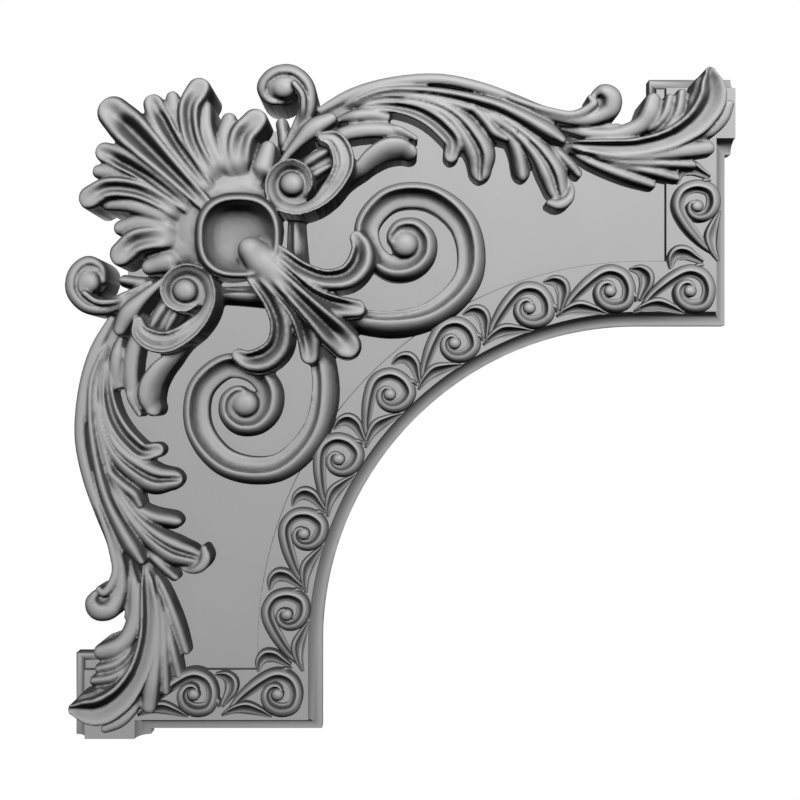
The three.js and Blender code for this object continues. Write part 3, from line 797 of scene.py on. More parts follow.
@dataclass(frozen=True)
class ScrollBorder:
    """The running scrolls along the arch and round the ends of both arms."""

    count: int = 7
    pitch: float = 13.25
    radius: float = 358.0
    corner_step: float = 80.0
    rise: float = 10.0
    base: float = BOARD_DEPTH - COVE_DROP / 2
    turn: float = 45.0
    stem: Rows = ((-51, -20, 1.5, 0.3), (-38, -4.5, 4.5, 0.6), (-27, 5, 6, 0.9), (-15, 13.5, 6.5, 1),
        (-5, 18.5, 6.5, 1))
    radii: Row = (19.4, 19.6, 19.2, 19.8, 16.1, 13.6, 11.5, 9.3, 7, 4.6, 3)
    widths: Row = (6.5, 6.5, 6.5, 6.8, 7, 6, 5, 4, 3, 2, 1.4)
    lower_leaf: Rows = ((-56, -21.5, 1.5, 0.3), (-44, -16, 4.5, 0.7), (-32, -14, 7, 0.8),
        (-19, -17.5, 5, 0.7), (-7, -22.5, 1.5, 0.3))
    hook: Rows = ((28, -13, 2, 0.6), (33, -4.5, 4.5, 0.8), (37.5, 4, 7, 1), (37.5, 12, 7.5, 1),
        (32, 17.5, 5.5, 0.9), (23.5, 19, 2, 0.6))
    clasp: Rows = ((22, -3, 1.5, 0.5), (24.5, -8, 2.8, 0.9), (25, -13, 1.2, 0.5))
    outer_steps: int = 7
    inner_share: float = 0.8
    eye: float = 6.5
    eye_drop: float = 1.0
    eye_height: float = 0.8
    step: float = 2.8
    foot_shift: float = 9.0
    first_shift: float = 4.0
    last_shift: Row = (7.0, 5.0)

    def places(self) -> list[tuple[float, float, float, float]]:
        """Sets the scrolls out along the arch by equal angles, then round each arm's end.

        Returns:
            Eye across and down, incoming and outgoing direction in degrees.
        """
        middle = (ARM_WIDTH / 2 + ARCH_RADIUS) / GRID
        centre = (SHEET_CORNER[0] + middle, SHEET_CORNER[1] + middle)
        rank = np.arange(self.count) - (self.count - 1) / 2
        heading = (RIGHTWARDS + UPWARDS) / 2 + rank * self.pitch
        out = np.radians(heading + UPWARDS)
        along = [
            (centre[0] + self.radius * math.cos(way), centre[1] + self.radius * math.sin(way), turn, turn)
            for way, turn in zip(out.tolist(), heading.tolist())
        ]
        step = self.corner_step
        aside, above = self.last_shift
        foot = (along[0][0] - self.foot_shift, along[0][1] + step, RIGHTWARDS, UPWARDS)
        head = (along[-1][0] + step, along[-1][1], RIGHTWARDS, UPWARDS)
        first = (foot[0] - step - self.first_shift, foot[1], RIGHTWARDS, RIGHTWARDS)
        last = (head[0] + aside, head[1] - step - above, UPWARDS, UPWARDS)
        return [first, foot, *along, head, last]

    def turned(self, rows: Rows, x: float, y: float, heading: float) -> Rows:
        """Puts rows given along and out from an eye on the sheet.

        Args:
            rows: Along, out, half width and share of the rise.
            x: Eye across the sheet.
            y: Eye down the sheet.
            heading: Direction of travel in degrees.

        Returns:
            Rows of the sheet.
        """
        cos, sin = math.cos(math.radians(heading)), math.sin(math.radians(heading))
        return tuple(
            (x + along * cos + out * sin, y + along * sin - out * cos, half, share * self.rise)
            for along, out, half, share in rows
        )

    def coil(self) -> Rows:
        """Winds the scroll in: a radius and a width at each step of the turn.

        Returns:
            Rows of along, out, half width and share of the rise.
        """
        rows: list[Row] = []
        for i, (radius, width) in enumerate(zip(self.radii, self.widths)):
            angle = math.radians(90 - i * self.turn)
            share = 1.0 if i < self.outer_steps else self.inner_share
            rows.append((radius * math.cos(angle), radius * math.sin(angle), width, share))
        return tuple(rows)

    def shells(self) -> list[Shell]:
        """Builds each scroll with its eye, lower leaf, hook leaf and clasp.

        Returns:
            The closed shells, scroll by scroll.
        """
        stem = (*self.stem, *self.coil())
        shells: list[Shell] = []
        for x, y, into, onward in self.places():
            for section, rows, heading, hand, step in (
                (Section.RIDGE, stem, into, 1, self.step),
                (Section.HOLLOW, self.lower_leaf, into, 1, self.step),
                (Section.HOLLOW, self.hook, onward, -1, self.step),
                (Section.ARRIS, self.clasp, onward, 1, STATION_STEP),
            ):
                spine = self.turned(rows, x, y, heading)
                shells.append(Frond((section,), spine, self.base, hand, step).shell())
            eye = Dome(x, y + self.eye_drop, self.eye, self.rise, self.base, self.eye_height)
            shells.append(eye.shell())
        return shells


@dataclass(frozen=True)
class LeafSpray:
    """One half of the acanthus: arm leaves, end leaf, curl, shell lobes and droop."""

    to_back: tuple[str, ...] = (
        "outer_flute", "end_bed", "end_top", "end_blade_back", "end_blade", "bract", "curl_stem", "bud_leaf",
        "shell_1", "shell_2", "shell_3", "shell_4", "shell_5", "shell_6", "shell_7",
    )
    carriers: tuple[str, ...] = (
        "arm_bed", "stem_bed", "outer_flute", "end_bed", "bract", "curl_stem", "pale_leaf",
    )
    fingers: tuple[tuple[str, Section, Rows], ...] = (
        ("arm_bed", Section.ROUND, ((322, 117, 8, 14), (360, 104, 12, 15), (400, 98, 14, 16),
            (440, 100, 15, 16), (480, 112, 16, 15), (520, 131, 13, 14), (546, 150, 8, 13))),
        ("outer_flute", Section.ROUND, ((318, 112, 4, 17), (350, 95, 6, 19), (400, 81.5, 6, 20),
            (440, 79.5, 6, 20), (480, 87.5, 6, 20), (515, 99.5, 5.5, 20), (545, 112, 6, 20),
            (572, 119, 7, 21), (597, 117, 8, 22), (612, 107, 9.5, 25), (612, 95.5, 9, 26),
            (602, 90.5, 6.5, 25), (596, 93, 4, 22))),
        ("first_tongue", Section.ARRIS, ((335, 111, 2, 20), (380, 91, 3, 22.5), (420, 89.5, 3.5, 23.5),
            (460, 95, 4.5, 24.5), (500, 106, 6, 26), (530, 121, 9, 26), (550, 133, 9.5, 26),
            (560, 139, 6, 24))),
        ("second_flute", Section.ARRIS, ((335, 114, 3, 18), (380, 96.5, 3.5, 20), (420, 97, 4, 21),
            (455, 104, 5, 21), (490, 117, 6, 20), (515, 134, 7, 19), (530, 148, 6, 17))),
        ("curl_band", Section.ROUND, ((488, 88, 3, 22), (520, 101, 3, 22), (550, 110.5, 3.5, 22),
            (575, 114, 4, 23), (588, 108.5, 4.5, 24), (594.5, 102, 4, 24.5), (590, 97.5, 3, 23))),
        ("hook_leaf", Section.TWIN, ((470, 103, 4, 18), (500, 119, 6, 20), (522, 135, 8, 21),
            (541, 155, 12, 22), (552, 174, 15, 22), (556, 187, 13, 20))),
        ("hook_tip", Section.ROUND, ((567, 176, 2, 20), (572, 189, 3.5, 21), (568, 200, 5, 22),
            (558, 205, 5.5, 22), (550, 203, 4, 20))),
        ("hooklet", Section.ARRIS, ((450, 99, 3, 20), (472, 108, 5, 21), (486, 122, 6.5, 22),
            (496, 134, 6.5, 22), (504, 138, 5, 20))),
        ("side_finger", Section.ARRIS, ((545, 138, 3, 18), (560, 154, 5, 18), (571, 166, 6, 17),
            (577, 173, 5.5, 15))),
        ("drop_finger", Section.ARRIS, ((485, 108, 4, 16), (505, 130, 7, 17), (517, 152, 9, 17),
            (521, 172, 9.5, 15))),
        ("broad_tongue", Section.TWIN, ((385, 99, 3, 20), (420, 101, 6, 21), (450, 113, 9, 22),
            (470, 135, 14, 22), (480, 156, 16, 20), (480, 170, 12, 17))),
        ("inner_finger", Section.GOUGE, ((345, 112, 3, 19), (385, 106, 6, 20), (420, 113, 9, 21),
            (442, 128, 10, 21), (453, 143, 9.5, 20), (451, 155, 8, 17))),
        ("short_finger", Section.ROUND, ((332, 122, 4, 22), (354, 116, 6, 22), (371, 114.5, 6.5, 21),
            (385, 117, 5.5, 18))),
        ("pale_leaf", Section.ROUND, ((318, 146, 6, 22), (345, 134, 8, 23), (372, 130, 8.5, 22),
            (395, 132, 7, 20), (410, 137, 4, 17))),
        ("pale_finger", Section.ROUND, ((378, 126, 3, 22), (400, 130, 4, 21), (415, 138, 3, 18))),
        ("sliver", Section.ROUND, ((556, 124, 2, 16), (590, 129, 3, 16), (618, 126, 3, 16))),
        ("end_bed", Section.ROUND, ((556, 144, 6, 12), (600, 150, 14, 12), (650, 146, 20, 12),
            (684, 130, 20, 12), (700, 112, 14, 12))),
        ("end_top", Section.ROUND, ((560, 129, 4, 18), (590, 133.5, 5.5, 19), (622, 133, 8, 20),
            (643, 123, 9, 22), (651, 110, 9.5, 24), (653, 101, 8.5, 23))),
        ("end_second", Section.ARRIS, ((636, 136, 3, 21), (656, 126, 5, 22), (667, 112, 7, 24),
            (670, 100, 6.5, 23))),
        ("end_third", Section.ARRIS, ((645, 138, 3, 21), (668, 127, 5, 23), (680, 109, 7, 25),
            (682, 95, 6.5, 24))),
        ("end_fourth", Section.ARRIS, ((655, 139, 3, 21), (676, 129, 4, 22), (690, 112, 5, 24),
            (692.5, 98, 4.5, 23))),
        ("end_blade_back", Section.ROUND, ((684, 128, 4, 20), (697, 102, 8, 24), (702, 84, 8, 26))),
        ("end_blade", Section.BLADE, ((560, 143, 3, 20), (600, 147, 8, 22), (640, 146, 9, 24),
            (675, 136, 11, 27), (702, 116, 14, 31), (713, 94, 14.5, 33), (712, 80, 11, 32),
            (711, 72, 6, 30))),
        ("end_outer", Section.ROUND, ((690, 143, 3, 16), (710, 133, 4.5, 17), (724, 118, 5.5, 19),
            (730, 104, 4.5, 19))),
        ("end_lobe_a", Section.ROUND, ((568, 147, 2, 18), (620, 156, 3, 18), (660, 155, 5, 18),
            (690, 150, 8, 18), (707, 148, 8, 15))),
        ("end_lobe_b", Section.ARRIS, ((575, 151, 2, 16), (620, 162, 3.5, 16), (660, 164, 5.5, 16),
            (690, 165, 6.5, 13))),
        ("end_lobe_c", Section.ARRIS, ((590, 161, 3, 14), (630, 168, 5, 14), (660, 174, 6.5, 14),
            (674, 177.5, 6.5, 11))),
        ("end_lobe_d", Section.ARRIS, ((566, 151, 3, 14), (600, 167, 6, 14), (630, 178, 7.5, 13),
            (649, 184, 7, 10))),
        ("bract", Section.ROUND, ((280, 164, 3, 28), (298, 143, 6, 32), (315, 127, 9.5, 34),
            (330, 119, 7, 31))),
        ("curl_stem", Section.FLUTED, ((284, 152, 4, 20), (299, 126, 7, 24), (308, 104, 8.5, 27),
            (305, 85, 9, 29), (290, 73, 9, 29), (273, 76, 8.5, 28), (264.5, 88.5, 8, 26), (270, 99, 6, 24),
            (281, 101.5, 4, 22))),
        ("curl_inner", Section.ROUND, ((296, 132, 3, 28), (303, 110, 3, 31), (302, 94, 3, 33),
            (294, 83, 3, 33))),
        ("stem_bed", Section.ROUND, ((296, 184, 16, 20), (318, 167, 16, 21), (338, 153, 12, 20))),
        ("bud_leaf", Section.ARRIS, ((280, 158, 4, 18), (284, 140, 6.5, 19), (282, 124, 6.5, 18))),
        ("horn_leaf", Section.HORN, ((346, 190, 3, 24), (360, 170, 7.5, 28), (374, 156.5, 10.5, 30),
            (389, 149, 12, 30), (401, 149, 11.5, 28), (408, 152, 9.5, 25))),
        ("stem_flute", Section.ARRIS, ((292, 176, 6, 26), (308, 163, 7, 26), (326, 152, 6, 26),
            (345, 145, 4, 24))),
        ("stem_lower", Section.ARRIS, ((300, 188, 5, 24), (316, 174, 6, 24), (334, 164, 4, 23))),
        ("shell_1", Section.SCOOP, ((222, 200, 6, 38), (196, 173, 8, 40), (174, 145, 10, 39),
            (160, 122, 12, 37), (153.5, 104.5, 10.5, 32))),
        ("shell_2", Section.ROUND, ((222, 194, 6, 36), (197, 164, 8, 36), (182, 136, 8, 35),
            (174, 113, 8, 33), (172.5, 98, 7, 30))),
        ("shell_3", Section.CURL, ((224, 188, 7, 38), (203, 158, 10, 41), (192, 128, 12.5, 41),
            (192, 104, 13, 41), (199, 90, 12.5, 39))),
        ("shell_4", Section.ROUND, ((230, 182, 6, 38), (213, 150, 7, 38), (205.5, 125, 7.5, 36),
            (205.5, 107, 6.5, 32))),
        ("shell_5", Section.ROUND, ((236, 186, 7, 38), (226, 158, 8, 37), (224.5, 137, 8.5, 34),
            (229, 120.5, 8, 30))),
        ("shell_6", Section.CURL, ((243, 184, 9, 38), (240, 156, 13.5, 40), (245, 136, 15.5, 40),
            (255, 122, 13.5, 38))),
        ("shell_7", Section.ROUND, ((258, 184, 11, 37), (264, 163, 11, 35), (268, 149, 8.5, 31))),
        ("droop_b", Section.SPOON, ((262, 246, 5, 48), (276, 263, 8, 52), (292, 280, 9, 50),
            (311, 296, 10, 46), (333, 306.5, 12, 40), (356, 308.5, 9.5, 35))),
        ("droop_a", Section.SPOON, ((258, 238, 6, 44), (280, 254, 8, 50), (303, 272, 10, 48),
            (328, 280, 11, 44), (350, 275.5, 13, 40), (361.5, 260, 13.5, 37), (361, 245, 10.5, 35),
            (357, 238, 7.5, 34))),
    )
    volute: Volute = Volute()
    small_volute: Frond = Frond(
        (Section.VOLUTE_COIL, Section.VOLUTE_TAIL),
        ((304, 196, 2, 35, 0), (309, 183.5, 4, 40, 0), (303.5, 169, 5, 41, 0), (290, 163.5, 5.2, 41, 0),
            (276.5, 170.5, 5.8, 41, 0), (270.3, 186, 6.1, 41, 0), (277, 202.5, 6.1, 41, 0),
            (296, 210, 4.9, 41, 0), (314.5, 204, 6, 42, 0.2), (329, 190.5, 9, 42, 0.6),
            (338, 178, 9.8, 42, 1), (343, 165.5, 11, 42, 1), (341, 150, 11, 41, 1), (333, 139, 9, 40, 1),
            (322, 136.5, 5, 39, 1)),
        hand=-1,
    )
    bosses: tuple[Dome, ...] = (
        Dome(226, 225, 54, 38, 0.0, 0.2),
        Dome(292, 184, 12.4, 41),
        Dome(291, 186, 21, 33, ROOT_DEPTH, 0.12),
        Dome(281, 89, 18.5, 21, 0.0, 0.5),
        Dome(283, 87, 12.5, 30),
        Dome(606, 101, 10, 20, 0.0),
        Dome(404.5, 244, 14, 18),
    )

    def finger(self, name: str, section: Section, rows: Rows) -> Frond:
        """Makes one finger; gouged ones begin plain, and those past the edge go to the back.

        Args:
            name: Name of the finger.
            section: Its section.
            rows: Its spine.

        Returns:
            The finger as a frond.
        """
        gouged = section in (Section.GOUGE, Section.SPOON, Section.SCOOP, Section.CURL)
        return Frond(
            (Section.PLAIN, section) if gouged else (section,),
            rows,
            0.0 if name in self.to_back else ROOT_DEPTH,
            emerge=0.0 if name in self.carriers else EMERGE_SINK,
            flute=FLUTE_LENGTH if gouged else 0.0,
        )

    def drooping(self) -> list[Frond]:
        """Gives the fingers that hang out of the cup, with their twins."""
        hanging = [self.finger(*row) for row in self.fingers if row[0].startswith("droop")]
        return [made for frond in hanging for made in (frond, frond.mirrored())]

    def shells(self) -> list[Shell]:
        """Builds every other finger, both volutes and the bosses, each with its mirrored twin.

        Returns:
            The closed shells, each form before its twin.
        """
        fronds = [self.finger(*row) for row in self.fingers if not row[0].startswith("droop")]
        fronds += [self.volute.frond(), self.small_volute]
        forms = [*fronds, *self.bosses]
        return [made.shell() for form in forms for made in (form, form.mirrored())]


@dataclass(frozen=True)
class CentreLeaf:
    """What stands on the mirror line: the shell's bed and middle lobe, stalk and middle droop."""

    beds: tuple[Frond, ...] = (
        Frond((Section.ROUND,), ((240, 239, 48, 36), (205, 204, 50, 33), (180, 179, 38, 28)), 0.0),
        Frond((Section.ROUND,), ((238, 228, 34, 37), (244, 190, 30, 34), (247, 162, 22, 30)), 0.0),
        Frond((Section.ROUND,), ((229, 237, 34, 37), (191, 243, 30, 34), (163, 246, 22, 30)), 0.0),
    )
    lobe: Frond = Frond(
        (Section.PLAIN, Section.GOUGE),
        ((222, 221, 6, 40), (196, 195, 9, 42), (168, 167, 13, 42.5), (145, 144, 17.5, 42),
            (129, 128, 19.5, 40), (114, 113, 17, 35)),
        0.0,
        flute=FLUTE_LENGTH,
    )
    stalk: Frond = Frond(
        (Section.ROUND,),
        ((302, 301, 10, 44), (286, 285, 15.5, 50), (271, 270, 18, 53), (259, 258, 17, 53),
            (251, 250, 13.5, 49)),
        0.0,
    )
    droop: Frond = Frond(
        (Section.PLAIN, Section.GOUGE),
        ((264, 263, 8, 53), (280, 279, 9, 53.5), (300, 299, 10.5, 52), (318, 317, 13, 47),
            (334, 333, 16, 40), (345, 344, 15.5, 34)),
        0.0,
        flute=FLUTE_LENGTH,
    )


class Joiner:
    """Joins and cuts closed shells as solids."""

    rasp_share: float = 0.5

    @staticmethod
    def combine(first: bpy.types.Object, second: bpy.types.Object, operation: str) -> bpy.types.Object:
        """Applies one operation and removes the second object.

        Args:
            first: Object that takes the result.
            second: Object that is joined to it or cut from it.
            operation: Name of the operation.

        Returns:
            The first object, with its new mesh.
        """
        step = first.modifiers.new("join", "BOOLEAN")
        step.object = second
        step.operation = operation
        step.solver = "MANIFOLD"
        Joiner.settled(first)
        spare = second.data
        bpy.data.objects.remove(second)
        bpy.data.meshes.remove(spare)
        return first

    @staticmethod
    def settled(piece: bpy.types.Object) -> bpy.types.Object:
        """Puts the outcome of the piece's modifiers in its mesh.

        Args:
            piece: Object with modifiers.

        Returns:
            The same object, without modifiers.
        """
        graph = bpy.context.evaluated_depsgraph_get()
        shape = bpy.data.meshes.new_from_object(piece.evaluated_get(graph))
        piece.modifiers.clear()
        old = piece.data
        piece.data = shape
        bpy.data.meshes.remove(old)
        return piece

    @classmethod
    def softened(cls, piece: bpy.types.Object, grain: float, passes: int) -> bpy.types.Object:
        """Cuts the piece again on an even grain and evens it, as a rasp rounds every crossing.

        Args:
            piece: Joined carving.
            grain: Size of the new faces in millimetres.
            passes: How often each point moves to the mean of its neighbours.

        Returns:
            The same object, softened.
        """
        even = piece.modifiers.new("even", "REMESH")
        even.mode = "VOXEL"
        even.voxel_size = grain * MILLIMETRE
        rasp = piece.modifiers.new("rasp", "SMOOTH")
        rasp.factor = cls.rasp_share
        rasp.iterations = passes
        return cls.settled(piece)

    @classmethod
    def thinned(cls, piece: bpy.types.Object, share: float) -> bpy.types.Object:
        """Takes faces away where the surface bends least.

        Args:
            piece: Softened carving.
            share: Share of the faces that stay.

        Returns:
            The same object, with fewer faces.
        """
        thin = piece.modifiers.new("thin", "DECIMATE")
        thin.ratio = share
        return cls.settled(piece)

    @classmethod
    def union(cls, pieces: list[bpy.types.Object]) -> bpy.types.Object:
        """Joins neighbours pair by pair until one object is left.

        Args:
            pieces: Objects to join.

        Returns:
            The first object, with all of them in its mesh.
        """
        while len(pieces) > 1:
            pairs = [pieces[i : i + 2] for i in range(0, len(pieces), 2)]
            pieces = [cls.combine(p[0], p[1], "UNION") if len(p) == 2 else p[0] for p in pairs]
        return pieces[0]


class Front:
    """The carved front as a height for each millimetre cell."""

    margin: int = 12
    half_cell: float = 0.5

    def __init__(self, points: np.ndarray, outline: np.ndarray) -> None:
        """Takes the highest point in each cell, the sunk field where there is none, and none outside.

        Args:
            points: Points of the carving in millimetres, less than a cell apart.
            outline: Rows of along and across round the board.
        """
        self.low = points.min(0) - self.margin
        cell = (points - self.low).astype(int)
        shape = cell.max(0)[[0, 2]] + self.margin
        corner = (self.low[0] + self.half_cell + ARM_WIDTH / 2, ARM_WIDTH / 2 - self.low[2] - self.half_cell)
        along = corner[0] + np.arange(shape[0])[:, None] + np.zeros(shape)
        across = corner[1] - np.arange(shape[1])[None, :] + np.zeros(shape)
        self.height = np.where(Board.within(outline, along, across), BOARD_DEPTH - FIELD_SINK, 0.0)
        np.maximum.at(self.height, (cell[:, 0], cell[:, 2]), -points[:, 1])

    def depth(self, points: np.ndarray, reach: int, full: float) -> np.ndarray:
        """Works out how deep each point lies below the mean front over a square around it.

        Args:
            points: Points in millimetres.
            reach: Cells of a millimetre on each side of the middle one.
            full: Depth that counts as 1, in millimetres.

        Returns:
            A share from 0, level with or over what is around, to 1.
        """
        kernel = np.ones(2 * reach + 1) / (2 * reach + 1)
        mean = self.height
        for axis in (0, 1):
            mean = np.apply_along_axis(np.convolve, axis, mean, kernel, mode="same")
        cell = np.clip((points - self.low).astype(int)[:, [0, 2]], 0, np.array(mean.shape) - 1)
        return np.clip((mean[cell[:, 0], cell[:, 1]] + points[:, 1]) / full, 0.0, 1.0)


class Surface:
    """What the painted highlight and painted shade read from the carving: where it bends, how steep it is,
    what is level.
    """

    shortest_edge: float = 0.5
    level_slack: float = 0.1
    level_facing: float = 0.9995

    def __init__(self, mesh: bpy.types.Mesh) -> None:
        """Reads the mesh in whole arrays, in millimetres.

        Args:
            mesh: Mesh of the carving, in metres.
        """
        self.mesh = mesh
        self.points = self.read(mesh.vertices, "co", 3) / MILLIMETRE
        self.normals = self.read(mesh.vertices, "normal", 3)
        self.edges = self.read(mesh.edges, "vertices", 2, np.int32)

    @staticmethod
    def read(items: bpy.types.bpy_prop_collection, name: str, width: int, kind: type = float) -> np.ndarray:
        """Reads one property of all vertices, edges, corners or faces.

        Args:
            items: The mesh's vertices, edges, corners or faces.
            name: Name of the property.
            width: How many values each has.
            kind: Kind of number.

        Returns:
            A row of values for each.
        """
        values = np.empty(len(items) * width, kind)
        items.foreach_get(name, values)
        return values.reshape(-1, width)

    def mean_of_neighbours(self, values: np.ndarray) -> np.ndarray:
        """Gives each vertex the mean of a value over the vertices it shares an edge with.

        Args:
            values: One value for each vertex.

        Returns:
            The means.
        """
        first, second = self.edges.T
        count = np.bincount(self.edges.ravel(), minlength=len(values))
        total = np.bincount(first, values[second], len(values))
        total += np.bincount(second, values[first], len(values))
        return total / np.maximum(count, 1)

    def crests(self, gain: float, passes: int) -> np.ndarray:
        """Works out how sharply the carving bends at each vertex.

        The bend is the height over the mean of the neighbours by the square of the mean edge.

        Args:
            gain: Factor on the bend.
            passes: How often the outcome is evened.

        Returns:
            A share from 0, flat or hollow, to 1, a sharp crest.
        """
        mean = np.stack([self.mean_of_neighbours(self.points[:, k]) for k in range(3)], 1)
        ends = self.points[self.edges]
        length = np.linalg.norm(ends[:, 0] - ends[:, 1], axis=1)
        count = np.bincount(self.edges.ravel(), minlength=len(mean))
        edge = np.bincount(self.edges.ravel(), np.repeat(length, 2), len(mean)) / np.maximum(count, 1)
        over = np.einsum("ij,ij->i", self.points - mean, self.normals)
        proud = gain * over / np.maximum(edge, self.shortest_edge) ** 2
        for _ in range(passes):
            proud = (proud + self.mean_of_neighbours(proud)) / 2
        return np.clip(proud, 0.0, 1.0)

    def steepness(self) -> np.ndarray:
        """Gives the sine of the tilt from the front, 1 on an upright side."""
        return np.sqrt(np.clip(1.0 - self.normals[:, 1] ** 2, 0.0, 1.0))

    def keep(self, name: str, values: np.ndarray) -> None:
        """Keeps values of the vertices by face corner, with none on the flat ground and back.

        Args:
            name: Name of the attribute.
            values: One value for each vertex.
        """
        corners = self.read(self.mesh.loops, "vertex_index", 1, np.int32)[:, 0]
        totals = self.read(self.mesh.polygons, "loop_total", 1, np.int32)[:, 0]
        facing = self.read(self.mesh.polygons, "normal", 3)[:, 1]
        height = -self.read(self.mesh.polygons, "center", 3)[:, 1] / MILLIMETRE
        flat = (height < BOARD_DEPTH + self.level_slack) & (np.abs(facing) > self.level_facing)
        kept = np.where(np.repeat(flat, totals), 0.0, values[corners])
        layer = self.mesh.attributes.new(name, "FLOAT", "CORNER")
        layer.data.foreach_set("value", kept.astype(np.float32))


class Wiring:
    """Adds nodes to the tree of a material and links them."""

    def __init__(self, tree: bpy.types.ShaderNodeTree) -> None:
        """Takes the tree.

        Args:
            tree: Node tree of the material.
        """
        self.nodes = tree.nodes
        self.links = tree.links

    def attribute(self, name: str) -> bpy.types.NodeSocket:
        """Reads one kept attribute.

        Args:
            name: Name of the attribute.

        Returns:
            Its value.
        """
        node = self.nodes.new("ShaderNodeAttribute")
        node.attribute_name = name
        return node.outputs["Fac"]

    def ranged(self, source: bpy.types.NodeSocket, given: Row, wanted: Row) -> bpy.types.NodeSocket:
        """Maps a range of values to another, clamped.

        Args:
            source: Value to map.
            given: Low and high end of the given range.
            wanted: Low and high end of the wanted range.

        Returns:
            The mapped value.
        """
        node = self.nodes.new("ShaderNodeMapRange")
        for name, value in zip(("From Min", "From Max", "To Min", "To Max"), (*given, *wanted)):
            node.inputs[name].default_value = value
        self.links.new(source, node.inputs["Value"])
        return node.outputs["Result"]

    def product(self, first: bpy.types.NodeSocket, second: bpy.types.NodeSocket) -> bpy.types.NodeSocket:
        """Multiplies two values.

        Args:
            first: One value.
            second: The other.

        Returns:
            Their product.
        """
        node = self.nodes.new("ShaderNodeMath")
        node.operation = "MULTIPLY"
        self.links.new(first, node.inputs[0])
        self.links.new(second, node.inputs[1])
        return node.outputs["Value"]

    def mixed(
        self, share: bpy.types.NodeSocket, low: bpy.types.NodeSocket | Row, high: Row
    ) -> bpy.types.NodeSocket:
        """Mixes two colours by a share.

        Args:
            share: Share of the second colour.
            low: First colour, fixed or from a node.
            high: Second colour.

        Returns:
            The mixed colour.
        """
        node = self.nodes.new("ShaderNodeMix")
        node.data_type = "RGBA"
        self.links.new(share, node.inputs["Factor"])
        if isinstance(low, tuple):
            node.inputs["A"].default_value = (*low, 1.0)
        else:
            self.links.new(low, node.inputs["A"])
        node.inputs["B"].default_value = (*high, 1.0)
        return node.outputs["Result"]


